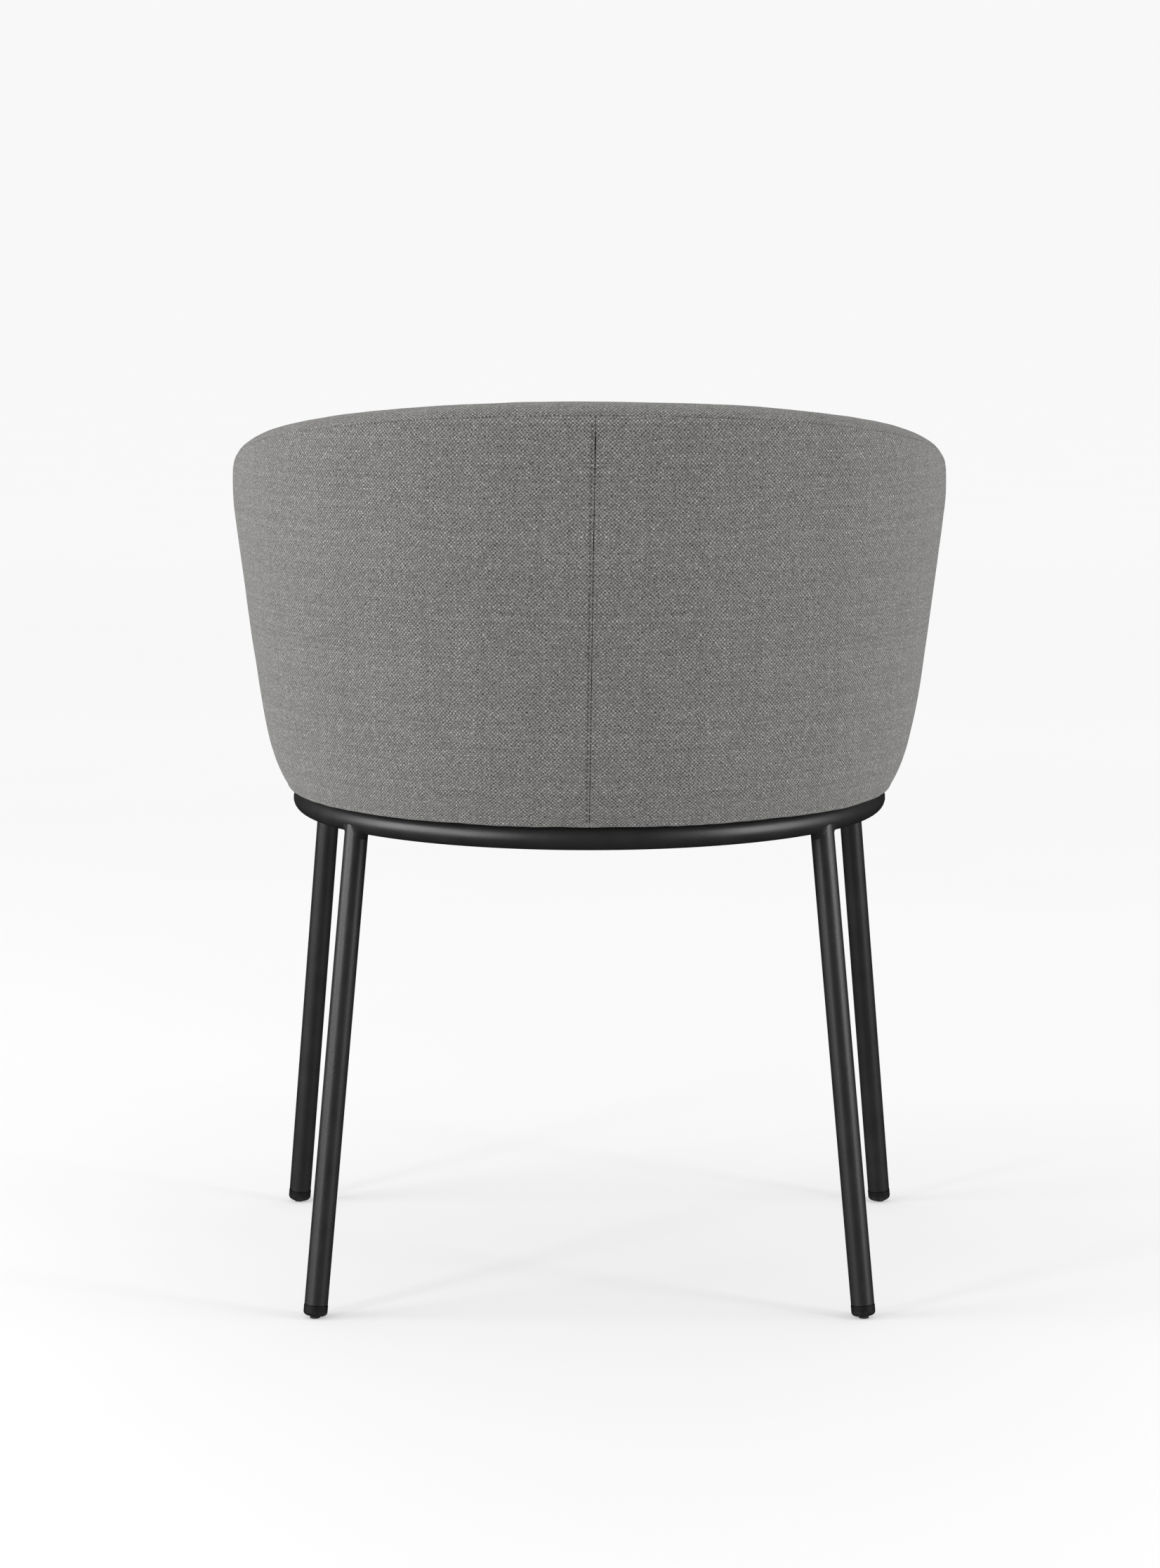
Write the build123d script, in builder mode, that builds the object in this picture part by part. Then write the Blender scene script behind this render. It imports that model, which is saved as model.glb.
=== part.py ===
from build123d import *
import os
from math import cos, exp, hypot, pi, sin

# Upholstered tub dining chair on a welded steel tube frame.
# Millimetres, +Z up, the sitter faces -Y, the floor is z = 0 and x = 0 is the plane of symmetry.
# Distances called "offset" are measured outwards from the centreline of the seat ring, and
# distances called "depth" are measured inwards from the outer face of the upholstered wall.

# ---------------------------------------------------------------- driving dimensions
TUBE_R = 9.5              # 19 mm round tube
TUBE_WALL = 1.5
RING_R = 237.5            # centreline radius round the back
RING_Z = 400.0            # centreline height
SIDE_RUN = 122.0          # straight side of the ring, in front of the back arc
CORNER_R = 95.0           # front corners of the ring

REAR_LEG_ANGLE = 0.8988   # radians round the back arc from the middle of the back
FRONT_LEG_ANGLE = 0.502   # radians round the front corner from its side
LEG_SPLAY = 35.5          # each leg leans this far in X and in Y over the height of the ring

WALL = 46.0               # whole upholstered wall
COVER = 1.6               # fabric
LAYER_GAP = 0.5
OUTER_FOAM = 9.0
SHELL = 9.0               # bent plywood
HEM_Z = 410.0
REAR_HEIGHT = 741.0       # top of the back
RIM_SLOPE = 0.168         # fall of the rim from the back towards the front
RIM_CURVE = 0.00014       # how much steeper that fall gets, per millimetre
RIM_RISE = 20.0           # height of the rounded top of the wall
ARM_RISE = 18.0           # how much taller the rounding is where an arm falls steepest
FRONT_HEIGHT = 452.0      # top of the front wall, under the cushion
DROP_START = 430.0        # where each arm starts to fall, measured along the ring
DROP_END = 540.0          # where it reaches the front wall

BOARD_Z = 411.0
BOARD = 15.0
DECK_OFFSET = -29.5
DECK_TOP = FRONT_HEIGHT - 0.3           # the padded deck ends level with the front wall
LAYER_Z = BOARD_Z + 0.4                 # foot of the layers outside the board
INNER_LAYER_Z = BOARD_Z + BOARD + 0.4   # foot of the layers on the board

CUSHION_HALF = 215.0
CUSHION_RUN = 100.0       # straight side of the cushion, in front of the back arc
CUSHION_CORNER = 127.0
CUSHION_LOW = 454.2
CUSHION_HIGH = 486.7
CUSHION_ROUND = 6.0
PIPING_R = 2.2

FLARE = 0.1258            # outward lean of the wall, per millimetre of height
FLARE_OFFSET = 26.4       # offset that the lean would have at TUCK_Z
TUCK, TUCK_Z = 16.2, 407.0        # how far the hem tucks in under that lean, and where
TUCK_FADE = 25.0                  # height over which the tuck fades
EASING, EASING_DEPTH = 0.0026, 55.0   # the wall curves back in over this depth under the rim
EASING_LOW = 425.0


def wall_offset(z, rim):
    """Offset of the wall's outer face: tucked in at the hem, flared, and eased in at the rim."""
    above = z - TUCK_Z
    flare = FLARE_OFFSET + FLARE * above - TUCK * exp(-above / TUCK_FADE)
    return flare - EASING * max(0.0, z - max(rim - EASING_DEPTH, EASING_LOW)) ** 2


# ---------------------------------------------------------------- worked out from them
BACK_ARC = RING_R * pi / 2
CORNER_START = BACK_ARC + SIDE_RUN
CORNER_ARC = CORNER_R * pi / 2
HALF_RING = CORNER_START + CORNER_ARC + RING_R - CORNER_R
CREST_R = RING_R + 33.5   # the top of the rim, round the back
STATION_PITCH = BACK_ARC / 32
SEAM = 49 * STATION_PITCH           # where the back's cover meets the front's, along the ring
SHELL_END = 37 * STATION_PITCH      # the shell stops where the arms start to fall
RAIL_START = SHELL_END + STATION_PITCH
WIDEST_Z = REAR_HEIGHT - EASING_DEPTH + FLARE / (2 * EASING)
REAR_REACH = RING_R + wall_offset(WIDEST_Z, REAR_HEIGHT)
FRONT_REACH = SIDE_RUN + CORNER_R + wall_offset(FRONT_HEIGHT - RIM_RISE, FRONT_HEIGHT)
ARC_Y = (FRONT_REACH - REAR_REACH) / 2
SHELL_OUT = COVER + OUTER_FOAM + 3 * LAYER_GAP
SHELL_IN = SHELL_OUT + SHELL
BOARD_LOW_OFFSET = wall_offset(BOARD_Z, REAR_HEIGHT) - SHELL_IN - LAYER_GAP
BOARD_HIGH_OFFSET = wall_offset(BOARD_Z + BOARD, REAR_HEIGHT) - SHELL_IN - LAYER_GAP


def ring_station(along):
    """Point and outward normal of the ring's centreline, from the middle of the back (0)
    to the middle of the front (HALF_RING). A negative distance is on the -X side."""
    side = 1 if along >= 0 else -1
    s = abs(along)
    corner_x = RING_R - CORNER_R
    if s <= BACK_ARC:
        nx, ny = sin(s / RING_R), cos(s / RING_R)
        x, y = RING_R * nx, RING_R * ny
    elif s <= CORNER_START:
        nx, ny = 1.0, 0.0
        x, y = RING_R, BACK_ARC - s
    elif s <= CORNER_START + CORNER_ARC:
        turn = (s - CORNER_START) / CORNER_R
        nx, ny = cos(turn), -sin(turn)
        x, y = corner_x + CORNER_R * nx, -SIDE_RUN + CORNER_R * ny
    else:
        nx, ny = 0.0, -1.0
        x, y = HALF_RING - s, -SIDE_RUN - CORNER_R
    return side * x, y + ARC_Y, side * nx, ny


def section_plane(along):
    """Upright plane across the wall: local X points outwards, local Y points up."""
    x, y, nx, ny = ring_station(along)
    return Plane(origin=(x, y, 0), x_dir=(nx, ny, 0), z_dir=(ny, -nx, 0))


def drop_share(along):
    """How far along its fall an arm is, from 0 to 1."""
    return min(max((abs(along) - DROP_START) / (DROP_END - DROP_START), 0.0), 1.0)


def rim_height(along):
    """Height of the top of the wall: a gentle slope, then each arm falls to the front."""
    s = abs(along)
    from_back = CREST_R * (1 - cos(s / RING_R)) if s < BACK_ARC else CREST_R + s - BACK_ARC
    slope = REAR_HEIGHT - RIM_SLOPE * from_back - RIM_CURVE * from_back ** 2
    t = drop_share(along)
    fall = t * t * (3 - 2 * t)
    return slope + (FRONT_HEIGHT - slope) * fall


def rim_rise(along):
    """Height of the rounded top of the wall, so that a steep arm is as round as a level rim."""
    t = drop_share(along)
    return RIM_RISE + ARM_RISE * 4 * t * (1 - t)


def upright(depth, low, high, rim, steps=16):
    """Points up the wall at a constant depth behind its outer face, closest together at the
    bottom, where the wall curves most."""
    shares = [0.35 * i / steps + 0.65 * (i / steps) ** 2 for i in range(steps + 1)]
    heights = [low + (high - low) * share for share in shares]
    return [(wall_offset(z, rim) - depth, z) for z in heights]


def smooth(points):
    """Spline with evenly spaced parameters, so that every section of a loft is divided alike."""
    even = [i / (len(points) - 1) for i in range(len(points))]
    add(Edge.make_spline([Vector(*point) for point in points], parameters=even))


def layer_outline(out, inn, low, drop):
    """Section of a plain layer of the wall, between two depths, up to drop under the shoulder."""
    def draw(rim, rise):
        outer = upright(out, low, rim - rise - drop, rim)
        inner = upright(inn, low, rim - rise - drop, rim)
        smooth(outer)
        Line(outer[-1], inner[-1])
        smooth(inner[::-1])
        Line(inner[0], outer[0])
    return draw


def roll(skin, rim, rise):
    """Control points of the rounded rim of a layer under the finished face, from its outer
    shoulder over the crest to its inner shoulder."""
    shoulder = rim - rise
    middle = wall_offset(shoulder, rim) - WALL / 2
    reach = WALL / 2 - skin
    pull = shoulder + (rise - skin) * 4 / 3
    outer, inner = middle + reach, middle - reach
    return (outer, shoulder), (outer, pull), (inner, pull), (inner, shoulder)


def stations(start, end):
    """Evenly spread stations of a loft, close to STATION_PITCH apart, so that all the layers
    keep their distance."""
    count = round((end - start) / STATION_PITCH)
    return [start + (end - start) * i / count for i in range(count + 1)]


def front_stations(start):
    """Stations from start on the +X side, round the front, to the same place on the -X side."""
    return [s if s <= HALF_RING else s - 2 * HALF_RING for s in stations(start, 2 * HALF_RING - start)]


def wall_sections(along, outline):
    """The closed sections that a stretch of the wall is lofted through."""
    sections = []
    for s in along:
        with BuildSketch(section_plane(s)) as section:
            with BuildLine():
                outline(rim_height(s), rim_rise(s))
            make_face()
        sections.append(section.sketch)
    return sections


def loft_both_sides(end, outline):
    """Adds a layer of the wall that runs to end on both sides, in two lofts that meet at the back."""
    for start in (-end, 0.0):
        loft(wall_sections(stations(start, start + end), outline))


def ring_outline(offset):
    """Closed outline parallel to the ring's centreline."""
    d_outline(RING_R + offset, SIDE_RUN, CORNER_R + offset)


def d_outline(half, run, corner):
    """Closed outline: a half circle at the back, straight sides, rounded front corners."""
    front, flat = -run - corner, half - corner
    CenterArc((0, ARC_Y), half, 0, 180)
    Line((-half, ARC_Y), (-half, ARC_Y - run))
    CenterArc((-flat, ARC_Y - run), corner, 180, 90)
    Line((-flat, ARC_Y + front), (flat, ARC_Y + front))
    CenterArc((flat, ARC_Y - run), corner, 270, 90)
    Line((half, ARC_Y - run), (half, ARC_Y))


# ---------------------------------------------------------------- steel frame
def ring_tube(radius):
    """Solid round bar along the whole ring."""
    with BuildLine(Plane.XY.offset(RING_Z)) as path:
        ring_outline(0)
    with BuildPart() as bar:
        with BuildSketch(Plane(origin=(RING_R, ARC_Y, RING_Z), z_dir=(0, 1, 0))):
            Circle(radius)
        sweep(path=path.wires()[0])
    return bar.part


ring_bar = ring_tube(TUBE_R)

with BuildPart() as seat_ring:
    add(ring_bar)
    add(ring_tube(TUBE_R - TUBE_WALL), mode=Mode.SUBTRACT)

LEG_TOPS = {
    "rear_left": (-REAR_LEG_ANGLE * RING_R, 1),
    "rear_right": (REAR_LEG_ANGLE * RING_R, 1),
    "front_left": (-(CORNER_START + FRONT_LEG_ANGLE * CORNER_R), -1),
    "front_right": (CORNER_START + FRONT_LEG_ANGLE * CORNER_R, -1),
}
LEG_LENGTH = hypot(RING_Z, LEG_SPLAY, LEG_SPLAY)
LEG_STOP = 3.0                          # a coped leg stops this far short of the ring's centreline
NUB, NUB_R = 2.0, 4.0
CAP, CAP_R, CAP_ROUND = 8.5, 9.75, 3.2
CAP_GROOVE, GROOVE_DEPTH = 0.8, 0.7
TUBE_END = NUB + CAP + CAP_GROOVE
PLUG, PLUG_GAP = 18.0, 0.4
PLUG_RIBS, RIB = (4.0, 8.0, 12.0), 1.2
FIT = 0.05                              # gap between pieces that touch
WELD_REACH = 30.0                       # length of leg in which the weld bead is looked for
BEAD = 3.0


def leg_plane(corner):
    """Plane across a leg where its axis meets the floor, with Z up the leg."""
    along, fore_aft = LEG_TOPS[corner]
    x, y, _, _ = ring_station(along)
    side = 1 if along > 0 else -1
    foot = Vector(x + side * LEG_SPLAY, y + fore_aft * LEG_SPLAY, 0)
    return Plane(origin=foot, z_dir=Vector(x, y, RING_Z) - foot)


legs = {}
for corner in LEG_TOPS:
    with BuildPart() as leg:
        with BuildSketch(leg_plane(corner).offset(TUBE_END)):
            Circle(TUBE_R)
            Circle(TUBE_R - TUBE_WALL, mode=Mode.SUBTRACT)
        extrude(amount=LEG_LENGTH - TUBE_END - LEG_STOP)
        add(ring_bar, mode=Mode.SUBTRACT)
    legs[corner] = leg

# A bead hugs each joint: the space within BEAD of both the leg and the ring.
with BuildPart() as leg_welds:
    for corner in LEG_TOPS:
        with BuildSketch(leg_plane(corner).offset(LEG_LENGTH - WELD_REACH)):
            Circle(TUBE_R + BEAD)
            Circle(TUBE_R, mode=Mode.SUBTRACT)
        extrude(amount=WELD_REACH - LEG_STOP)
    add(ring_tube(TUBE_R + BEAD), mode=Mode.INTERSECT)
    add(ring_bar, mode=Mode.SUBTRACT)

feet = {}
for corner in LEG_TOPS:
    base = leg_plane(corner)
    with BuildPart() as foot:
        with BuildSketch(base.offset(NUB)):
            Circle(CAP_R)
        extrude(amount=CAP)
        fillet(foot.faces().sort_by(Axis(base.origin, base.z_dir))[0].edges(), CAP_ROUND)
        with BuildSketch(base.offset(NUB + CAP)):
            Circle(TUBE_R - GROOVE_DEPTH)
        extrude(amount=CAP_GROOVE - FIT)
        with BuildSketch(base.offset(NUB + CAP)):
            Circle(TUBE_R - TUBE_WALL - PLUG_GAP)
        extrude(amount=PLUG)
        for rib in PLUG_RIBS:
            with BuildSketch(base.offset(TUBE_END + rib)):
                Circle(TUBE_R - TUBE_WALL - FIT)
            extrude(amount=RIB)
        with BuildSketch(base.offset(-NUB)):
            Circle(NUB_R)
        extrude(amount=2 * NUB)
        split(bisect_by=Plane.XY, keep=Keep.TOP)
    feet[corner] = foot

# ---------------------------------------------------------------- fixings under the seat
TAB_STATIONS = (-440.0, -118.0, 118.0, 440.0)
TAB, TAB_TOP = 4.0, 409.0
TAB_R, TAB_HOLE_R = 15.0, 3.3
HOLE_OFFSET = -22.0
BOLT_R, BOLT_END, BOLT_POINT = 2.95, 424.0, 0.9
WASHER, WASHER_R, WASHER_HOLE_R = 1.6, 6.0, 3.2
SPRING_WASHER, SPRING_R, SPRING_HOLE_R = 1.5, 5.4, 3.1
SPRING_SPLIT, SPLIT_SLANT = 0.8, 20.0
HEAD, HEAD_R, HEAD_FLAT_R, HEAD_ROUND = 3.3, 5.25, 3.6, 4.5
HEX_R, HEX_DEPTH = 2.0, 2.0             # hexagon socket in the button head
HEAD_TOP = TAB_TOP - TAB - WASHER - SPRING_WASHER
NUT_FLANGE, NUT_FLANGE_R = 1.5, 9.0
NUT_BARREL, NUT_BARREL_R = 9.0, 3.9


def bolt_places():
    """Centre of each seat bolt, in plan."""
    places = []
    for s in TAB_STATIONS:
        x, y, nx, ny = ring_station(s)
        places.append((x + HOLE_OFFSET * nx, y + HOLE_OFFSET * ny))
    return places


with BuildPart() as mounting_tabs:
    for s in TAB_STATIONS:
        x, y, nx, ny = ring_station(s)
        flat = Plane(origin=(x, y, TAB_TOP), x_dir=(-nx, -ny, 0), z_dir=(0, 0, 1))
        with BuildSketch(flat):
            with Locations((-HOLE_OFFSET, 0)):
                Circle(TAB_R)
            with Locations((-HOLE_OFFSET / 2, 0)):
                Rectangle(-HOLE_OFFSET, 2 * TAB_R)
            with Locations((-HOLE_OFFSET, 0)):
                Circle(TAB_HOLE_R, mode=Mode.SUBTRACT)
        extrude(amount=-TAB)
    add(ring_bar, mode=Mode.SUBTRACT)

with BuildPart() as flat_washers:
    with BuildSketch(Plane.XY.offset(TAB_TOP - TAB - WASHER)):
        with Locations(*bolt_places()):
            Circle(WASHER_R)
            Circle(WASHER_HOLE_R, mode=Mode.SUBTRACT)
    extrude(amount=WASHER)

with BuildPart() as spring_washers:
    with BuildSketch(Plane.XY.offset(HEAD_TOP)):
        with Locations(*bolt_places()):
            Circle(SPRING_R)
            Circle(SPRING_HOLE_R, mode=Mode.SUBTRACT)
            with Locations(((SPRING_R + SPRING_HOLE_R) / 2, 0)):
                Rectangle(SPRING_HOLE_R, SPRING_SPLIT, rotation=SPLIT_SLANT, mode=Mode.SUBTRACT)
    extrude(amount=SPRING_WASHER)

with BuildPart() as mounting_bolts:
    for x, y in bolt_places():
        with BuildSketch(Plane(origin=(x, y, 0), x_dir=(1, 0, 0), z_dir=(0, -1, 0))):
            with BuildLine():
                Line((0, HEAD_TOP - HEAD), (HEAD_FLAT_R, HEAD_TOP - HEAD))
                RadiusArc((HEAD_FLAT_R, HEAD_TOP - HEAD), (HEAD_R, HEAD_TOP), -HEAD_ROUND)
                Polyline((HEAD_R, HEAD_TOP), (BOLT_R, HEAD_TOP), (BOLT_R, BOLT_END - BOLT_POINT),
                         (BOLT_R - BOLT_POINT, BOLT_END), (0, BOLT_END), (0, HEAD_TOP - HEAD))
            make_face()
        revolve(axis=Axis((x, y, 0), (0, 0, 1)))
        with BuildSketch(Plane.XY.offset(HEAD_TOP - HEAD)):
            with Locations((x, y)):
                RegularPolygon(HEX_R, 6, major_radius=False)
        extrude(amount=HEX_DEPTH, mode=Mode.SUBTRACT)

with BuildPart() as t_nuts:
    with BuildSketch(Plane.XY.offset(BOARD_Z + BOARD - NUT_FLANGE)):
        with Locations(*bolt_places()):
            Circle(NUT_FLANGE_R)
            Circle(BOLT_R + FIT, mode=Mode.SUBTRACT)
    extrude(amount=NUT_FLANGE)
    with BuildSketch(Plane.XY.offset(BOARD_Z + BOARD - NUT_FLANGE - NUT_BARREL)):
        with Locations(*bolt_places()):
            Circle(NUT_BARREL_R)
            Circle(BOLT_R + FIT, mode=Mode.SUBTRACT)
    extrude(amount=NUT_BARREL)

# ---------------------------------------------------------------- wooden seat and back
SCREW_Z = BOARD_Z + BOARD / 2 + 0.5
SCREW_R, SCREW_HEAD_R, SCREW_HEAD, SCREW = 2.0, 4.0, 2.0, 32.0
SCREW_POINT, SCREW_TIP_R = 5.0, 0.3
SCREW_SINK = 2.2                        # how far the heads are let into the wood
CROSS, CROSS_SLOT, CROSS_DEPTH = 4.6, 1.1, 1.2
HOLE_GAP = 0.1
VENT_PITCH, VENT_R = 110.0, 12.0
SHELL_DROP, FOAM_DROP = 6.0, 3.0        # how far the shell and the outer foam stop under the shoulder
RAIL_TOP = FRONT_HEIGHT - RIM_RISE - FOAM_DROP
SHELL_SCREWS = (0.0, 90.0, 165.0, 250.0, 330.0, 405.0)
RAIL_SCREWS = (470.0, 540.0, 625.0, 740.0)
STAPLES = 34
STAPLE_OFFSET = -15.0
STAPLE_CROWN, STAPLE_WIRE, STAPLE_LEG = 10.0, 0.8, 5.0
DUST_COVER, DUST_COVER_INSET, DUST_HOLE_R = 0.6, 1.0, 4.0
DUST_COVER_Z = BOARD_Z - 0.1 - DUST_COVER


def screw_plane(along):
    """Plane of a screw's head, facing outwards, let into the outer face of the shell."""
    x, y, nx, ny = ring_station(along)
    sink = wall_offset(SCREW_Z, rim_height(along)) - SHELL_OUT - SCREW_SINK
    return Plane(origin=(x + sink * nx, y + sink * ny, SCREW_Z), z_dir=(nx, ny, 0))


def screw_holes(places):
    """Holes for the screws, to cut from the shell, the rail and the board."""
    with BuildPart() as holes:
        for s in places:
            with BuildSketch(screw_plane(s).offset(2 * SCREW_HEAD_R)):
                Circle(SCREW_HEAD_R + HOLE_GAP)
            extrude(amount=-2 * SCREW_HEAD_R - FIT)
            with BuildSketch(screw_plane(s)):
                Circle(SCREW_HEAD_R + HOLE_GAP)
            extrude(amount=-SCREW_HEAD - HOLE_GAP, taper=44)
            with BuildSketch(screw_plane(s)):
                Circle(SCREW_R + FIT)
            extrude(amount=-SCREW - LAYER_GAP)
    return holes.part


def both_sides(places):
    """The same stations on the -X side as well."""
    return sorted({-s for s in places} | set(places))


def screws(places):
    """Countersunk wood screws."""
    with BuildPart() as group:
        for s in places:
            face = screw_plane(s)
            up = Plane(origin=face.origin, x_dir=(0, 0, 1), z_dir=face.z_dir.cross(Vector(0, 0, 1)))
            with BuildSketch(up):
                with BuildLine():
                    Polyline((0, 0), (SCREW_HEAD_R, 0), (SCREW_R, SCREW_HEAD), (SCREW_R, SCREW - SCREW_POINT),
                             (SCREW_TIP_R, SCREW), (0, SCREW), (0, 0))
                make_face()
            revolve(axis=Axis(face.origin, face.z_dir))
            with BuildSketch(face):
                Rectangle(CROSS, CROSS_SLOT)
                Rectangle(CROSS_SLOT, CROSS)
            extrude(amount=-CROSS_DEPTH, mode=Mode.SUBTRACT)
    return group


def staple_places():
    """Middle and direction of each staple round the underside."""
    places = []
    for i in range(STAPLES):
        along = -HALF_RING + 2 * HALF_RING * (i + 0.5) / STAPLES
        x, y, nx, ny = ring_station(along)
        place = Vector(x + STAPLE_OFFSET * nx, y + STAPLE_OFFSET * ny)
        if min(hypot(place.X - bx, place.Y - by) for bx, by in bolt_places()) > TAB_R + 6:
            places.append(Plane(origin=(place.X, place.Y, DUST_COVER_Z), x_dir=(-ny, nx, 0), z_dir=(0, 0, 1)))
    return places


def staple_legs(clearance=0.0):
    """The two prongs of every staple."""
    side = STAPLE_WIRE + 2 * clearance
    with BuildPart() as prongs:
        for place in staple_places():
            with BuildSketch(place):
                with GridLocations(STAPLE_CROWN - STAPLE_WIRE, 0, 2, 1):
                    Rectangle(side, side)
            extrude(amount=STAPLE_LEG + clearance)
    return prongs.part


with BuildPart() as seat_board:
    with BuildSketch(Plane.XY.offset(BOARD_Z)):
        with BuildLine():
            ring_outline(BOARD_LOW_OFFSET)
        make_face()
    with BuildSketch(Plane.XY.offset(BOARD_Z + BOARD)):
        with BuildLine():
            ring_outline(BOARD_HIGH_OFFSET)
        make_face()
    loft(ruled=True)
    with BuildSketch(Plane.XY.offset(BOARD_Z)):
        with Locations(*bolt_places()):
            Circle(NUT_BARREL_R + FIT)
        with GridLocations(VENT_PITCH, VENT_PITCH, 2, 2):
            Circle(VENT_R)
    extrude(amount=BOARD, mode=Mode.SUBTRACT)
    with BuildSketch(Plane.XY.offset(BOARD_Z + BOARD - NUT_FLANGE)):
        with Locations(*bolt_places()):
            Circle(NUT_FLANGE_R + FIT)
    extrude(amount=NUT_FLANGE, mode=Mode.SUBTRACT)
    add(screw_holes(both_sides(SHELL_SCREWS + RAIL_SCREWS)), mode=Mode.SUBTRACT)
    add(staple_legs(FIT), mode=Mode.SUBTRACT)

with BuildPart() as dust_cover:
    with BuildSketch(Plane.XY.offset(DUST_COVER_Z)):
        with BuildLine():
            ring_outline(BOARD_LOW_OFFSET - DUST_COVER_INSET)
        make_face()
        with Locations(*bolt_places()):
            Circle(DUST_HOLE_R, mode=Mode.SUBTRACT)
    extrude(amount=DUST_COVER)
    add(staple_legs(FIT), mode=Mode.SUBTRACT)

with BuildPart() as staples:
    for place in staple_places():
        with BuildSketch(place):
            Rectangle(STAPLE_CROWN, STAPLE_WIRE)
        extrude(amount=-STAPLE_WIRE / 2)
    add(staple_legs())

with BuildPart() as back_shell:
    shell = layer_outline(SHELL_OUT, SHELL_IN, LAYER_Z, SHELL_DROP)
    loft_both_sides(SHELL_END, shell)
    add(screw_holes(both_sides(SHELL_SCREWS)), mode=Mode.SUBTRACT)


def rail_outline(rim, rise):
    """Section of the front rail, which has a level top."""
    layer_outline(SHELL_OUT, SHELL_IN, LAYER_Z, rim - rise - RAIL_TOP)(rim, rise)


with BuildPart() as front_rail:
    loft(wall_sections(front_stations(RAIL_START), rail_outline))
    add(screw_holes(both_sides(RAIL_SCREWS)), mode=Mode.SUBTRACT)

shell_screws = screws(both_sides(SHELL_SCREWS))
rail_screws = screws(both_sides(RAIL_SCREWS))

# ---------------------------------------------------------------- foam
SKIN = COVER + LAYER_GAP


def front_foam_outline(rim, rise):
    """Section of the front foam: over the outside, the top and the inside of the rail."""
    groove = RAIL_TOP + LAYER_GAP
    outside = upright(SKIN, LAYER_Z, rim - rise, rim)
    inside = upright(WALL - SKIN, INNER_LAYER_Z, rim - rise, rim)
    groove_out = upright(SHELL_OUT - LAYER_GAP, LAYER_Z, groove, rim)
    groove_in = upright(SHELL_IN + LAYER_GAP, INNER_LAYER_Z, groove, rim)
    smooth(outside)
    Bezier(*roll(SKIN, rim, rise))
    smooth(inside[::-1])
    Line(inside[0], groove_in[0])
    smooth(groove_in)
    Line(groove_in[-1], groove_out[-1])
    smooth(groove_out[::-1])
    Line(groove_out[0], outside[0])


def inner_foam_outline(rim, rise):
    """Section of the inner foam: it lines the shell and rolls over the top of the wall."""
    rounded = roll(SKIN, rim, rise)
    ledge = (rounded[0][0], rim - rise - LAYER_GAP)
    inside = upright(WALL - SKIN, INNER_LAYER_Z, rim - rise, rim)
    back = upright(SHELL_IN + LAYER_GAP, INNER_LAYER_Z, ledge[1], rim)
    smooth(inside)
    Bezier(*rounded[::-1])
    Polyline(rounded[0], ledge, back[-1])
    smooth(back[::-1])
    Line(back[0], inside[0])


def cushion_outline(inset):
    """Outline of the seat cushion, inset from its finished side."""
    d_outline(CUSHION_HALF - inset, CUSHION_RUN, CUSHION_CORNER - inset)


with BuildPart() as outer_foam:
    pad = layer_outline(SKIN, SHELL_OUT - LAYER_GAP, LAYER_Z, FOAM_DROP)
    loft_both_sides(SEAM, pad)

with BuildPart() as inner_foam:
    loft_both_sides(SEAM, inner_foam_outline)

with BuildPart() as front_foam:
    loft(wall_sections(front_stations(SEAM + LAYER_GAP), front_foam_outline))

with BuildPart() as deck_foam:
    with BuildSketch(Plane.XY.offset(BOARD_Z + BOARD + LAYER_GAP)):
        with BuildLine():
            ring_outline(DECK_OFFSET)
        make_face()
    extrude(amount=DECK_TOP - BOARD_Z - BOARD - LAYER_GAP)

with BuildPart() as seat_foam:
    with BuildSketch(Plane.XY.offset(CUSHION_LOW)):
        with BuildLine():
            cushion_outline(2 * PIPING_R)
        make_face()
    extrude(amount=CUSHION_HIGH - CUSHION_LOW)
    fillet(seat_foam.faces().sort_by(Axis.Z)[-1].edges(), CUSHION_ROUND)

# ---------------------------------------------------------------- fabric
side_skin = layer_outline(0.0, COVER, HEM_Z, LAYER_GAP)

with BuildPart() as outer_cover_left:
    loft(wall_sections(stations(-SEAM, -LAYER_GAP), side_skin))

with BuildPart() as outer_cover_right:
    loft(wall_sections(stations(LAYER_GAP, SEAM), side_skin))


def inner_cover_outline(rim, rise):
    """Section of the inner cover: up the inside and over the top to the outer shoulder."""
    rounded, lining = roll(0.0, rim, rise), roll(COVER, rim, rise)
    inside = upright(WALL, INNER_LAYER_Z, rim - rise, rim)
    back = upright(WALL - COVER, INNER_LAYER_Z, rim - rise, rim)
    smooth(inside)
    Bezier(*rounded[::-1])
    Line(rounded[0], lining[0])
    Bezier(*lining)
    smooth(back[::-1])
    Line(back[0], inside[0])


with BuildPart() as inner_cover:
    loft_both_sides(SEAM, inner_cover_outline)


def front_cover_outline(rim, rise):
    """Section of the front cover: up the outside, over the top and down behind the cushion."""
    shoulder = rim - rise
    outside = upright(0.0, HEM_Z, shoulder, rim)
    inside = upright(WALL, INNER_LAYER_Z, shoulder, rim)
    lining_in = upright(WALL - COVER, INNER_LAYER_Z, shoulder, rim)
    lining_out = upright(COVER, HEM_Z, shoulder, rim)
    smooth(outside)
    Bezier(*roll(0.0, rim, rise))
    smooth(inside[::-1])
    Line(inside[0], lining_in[0])
    smooth(lining_in)
    Bezier(*roll(COVER, rim, rise)[::-1])
    smooth(lining_out[::-1])
    Line(lining_out[0], outside[0])


with BuildPart() as front_cover:
    loft(wall_sections(front_stations(SEAM + LAYER_GAP), front_cover_outline))

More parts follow.
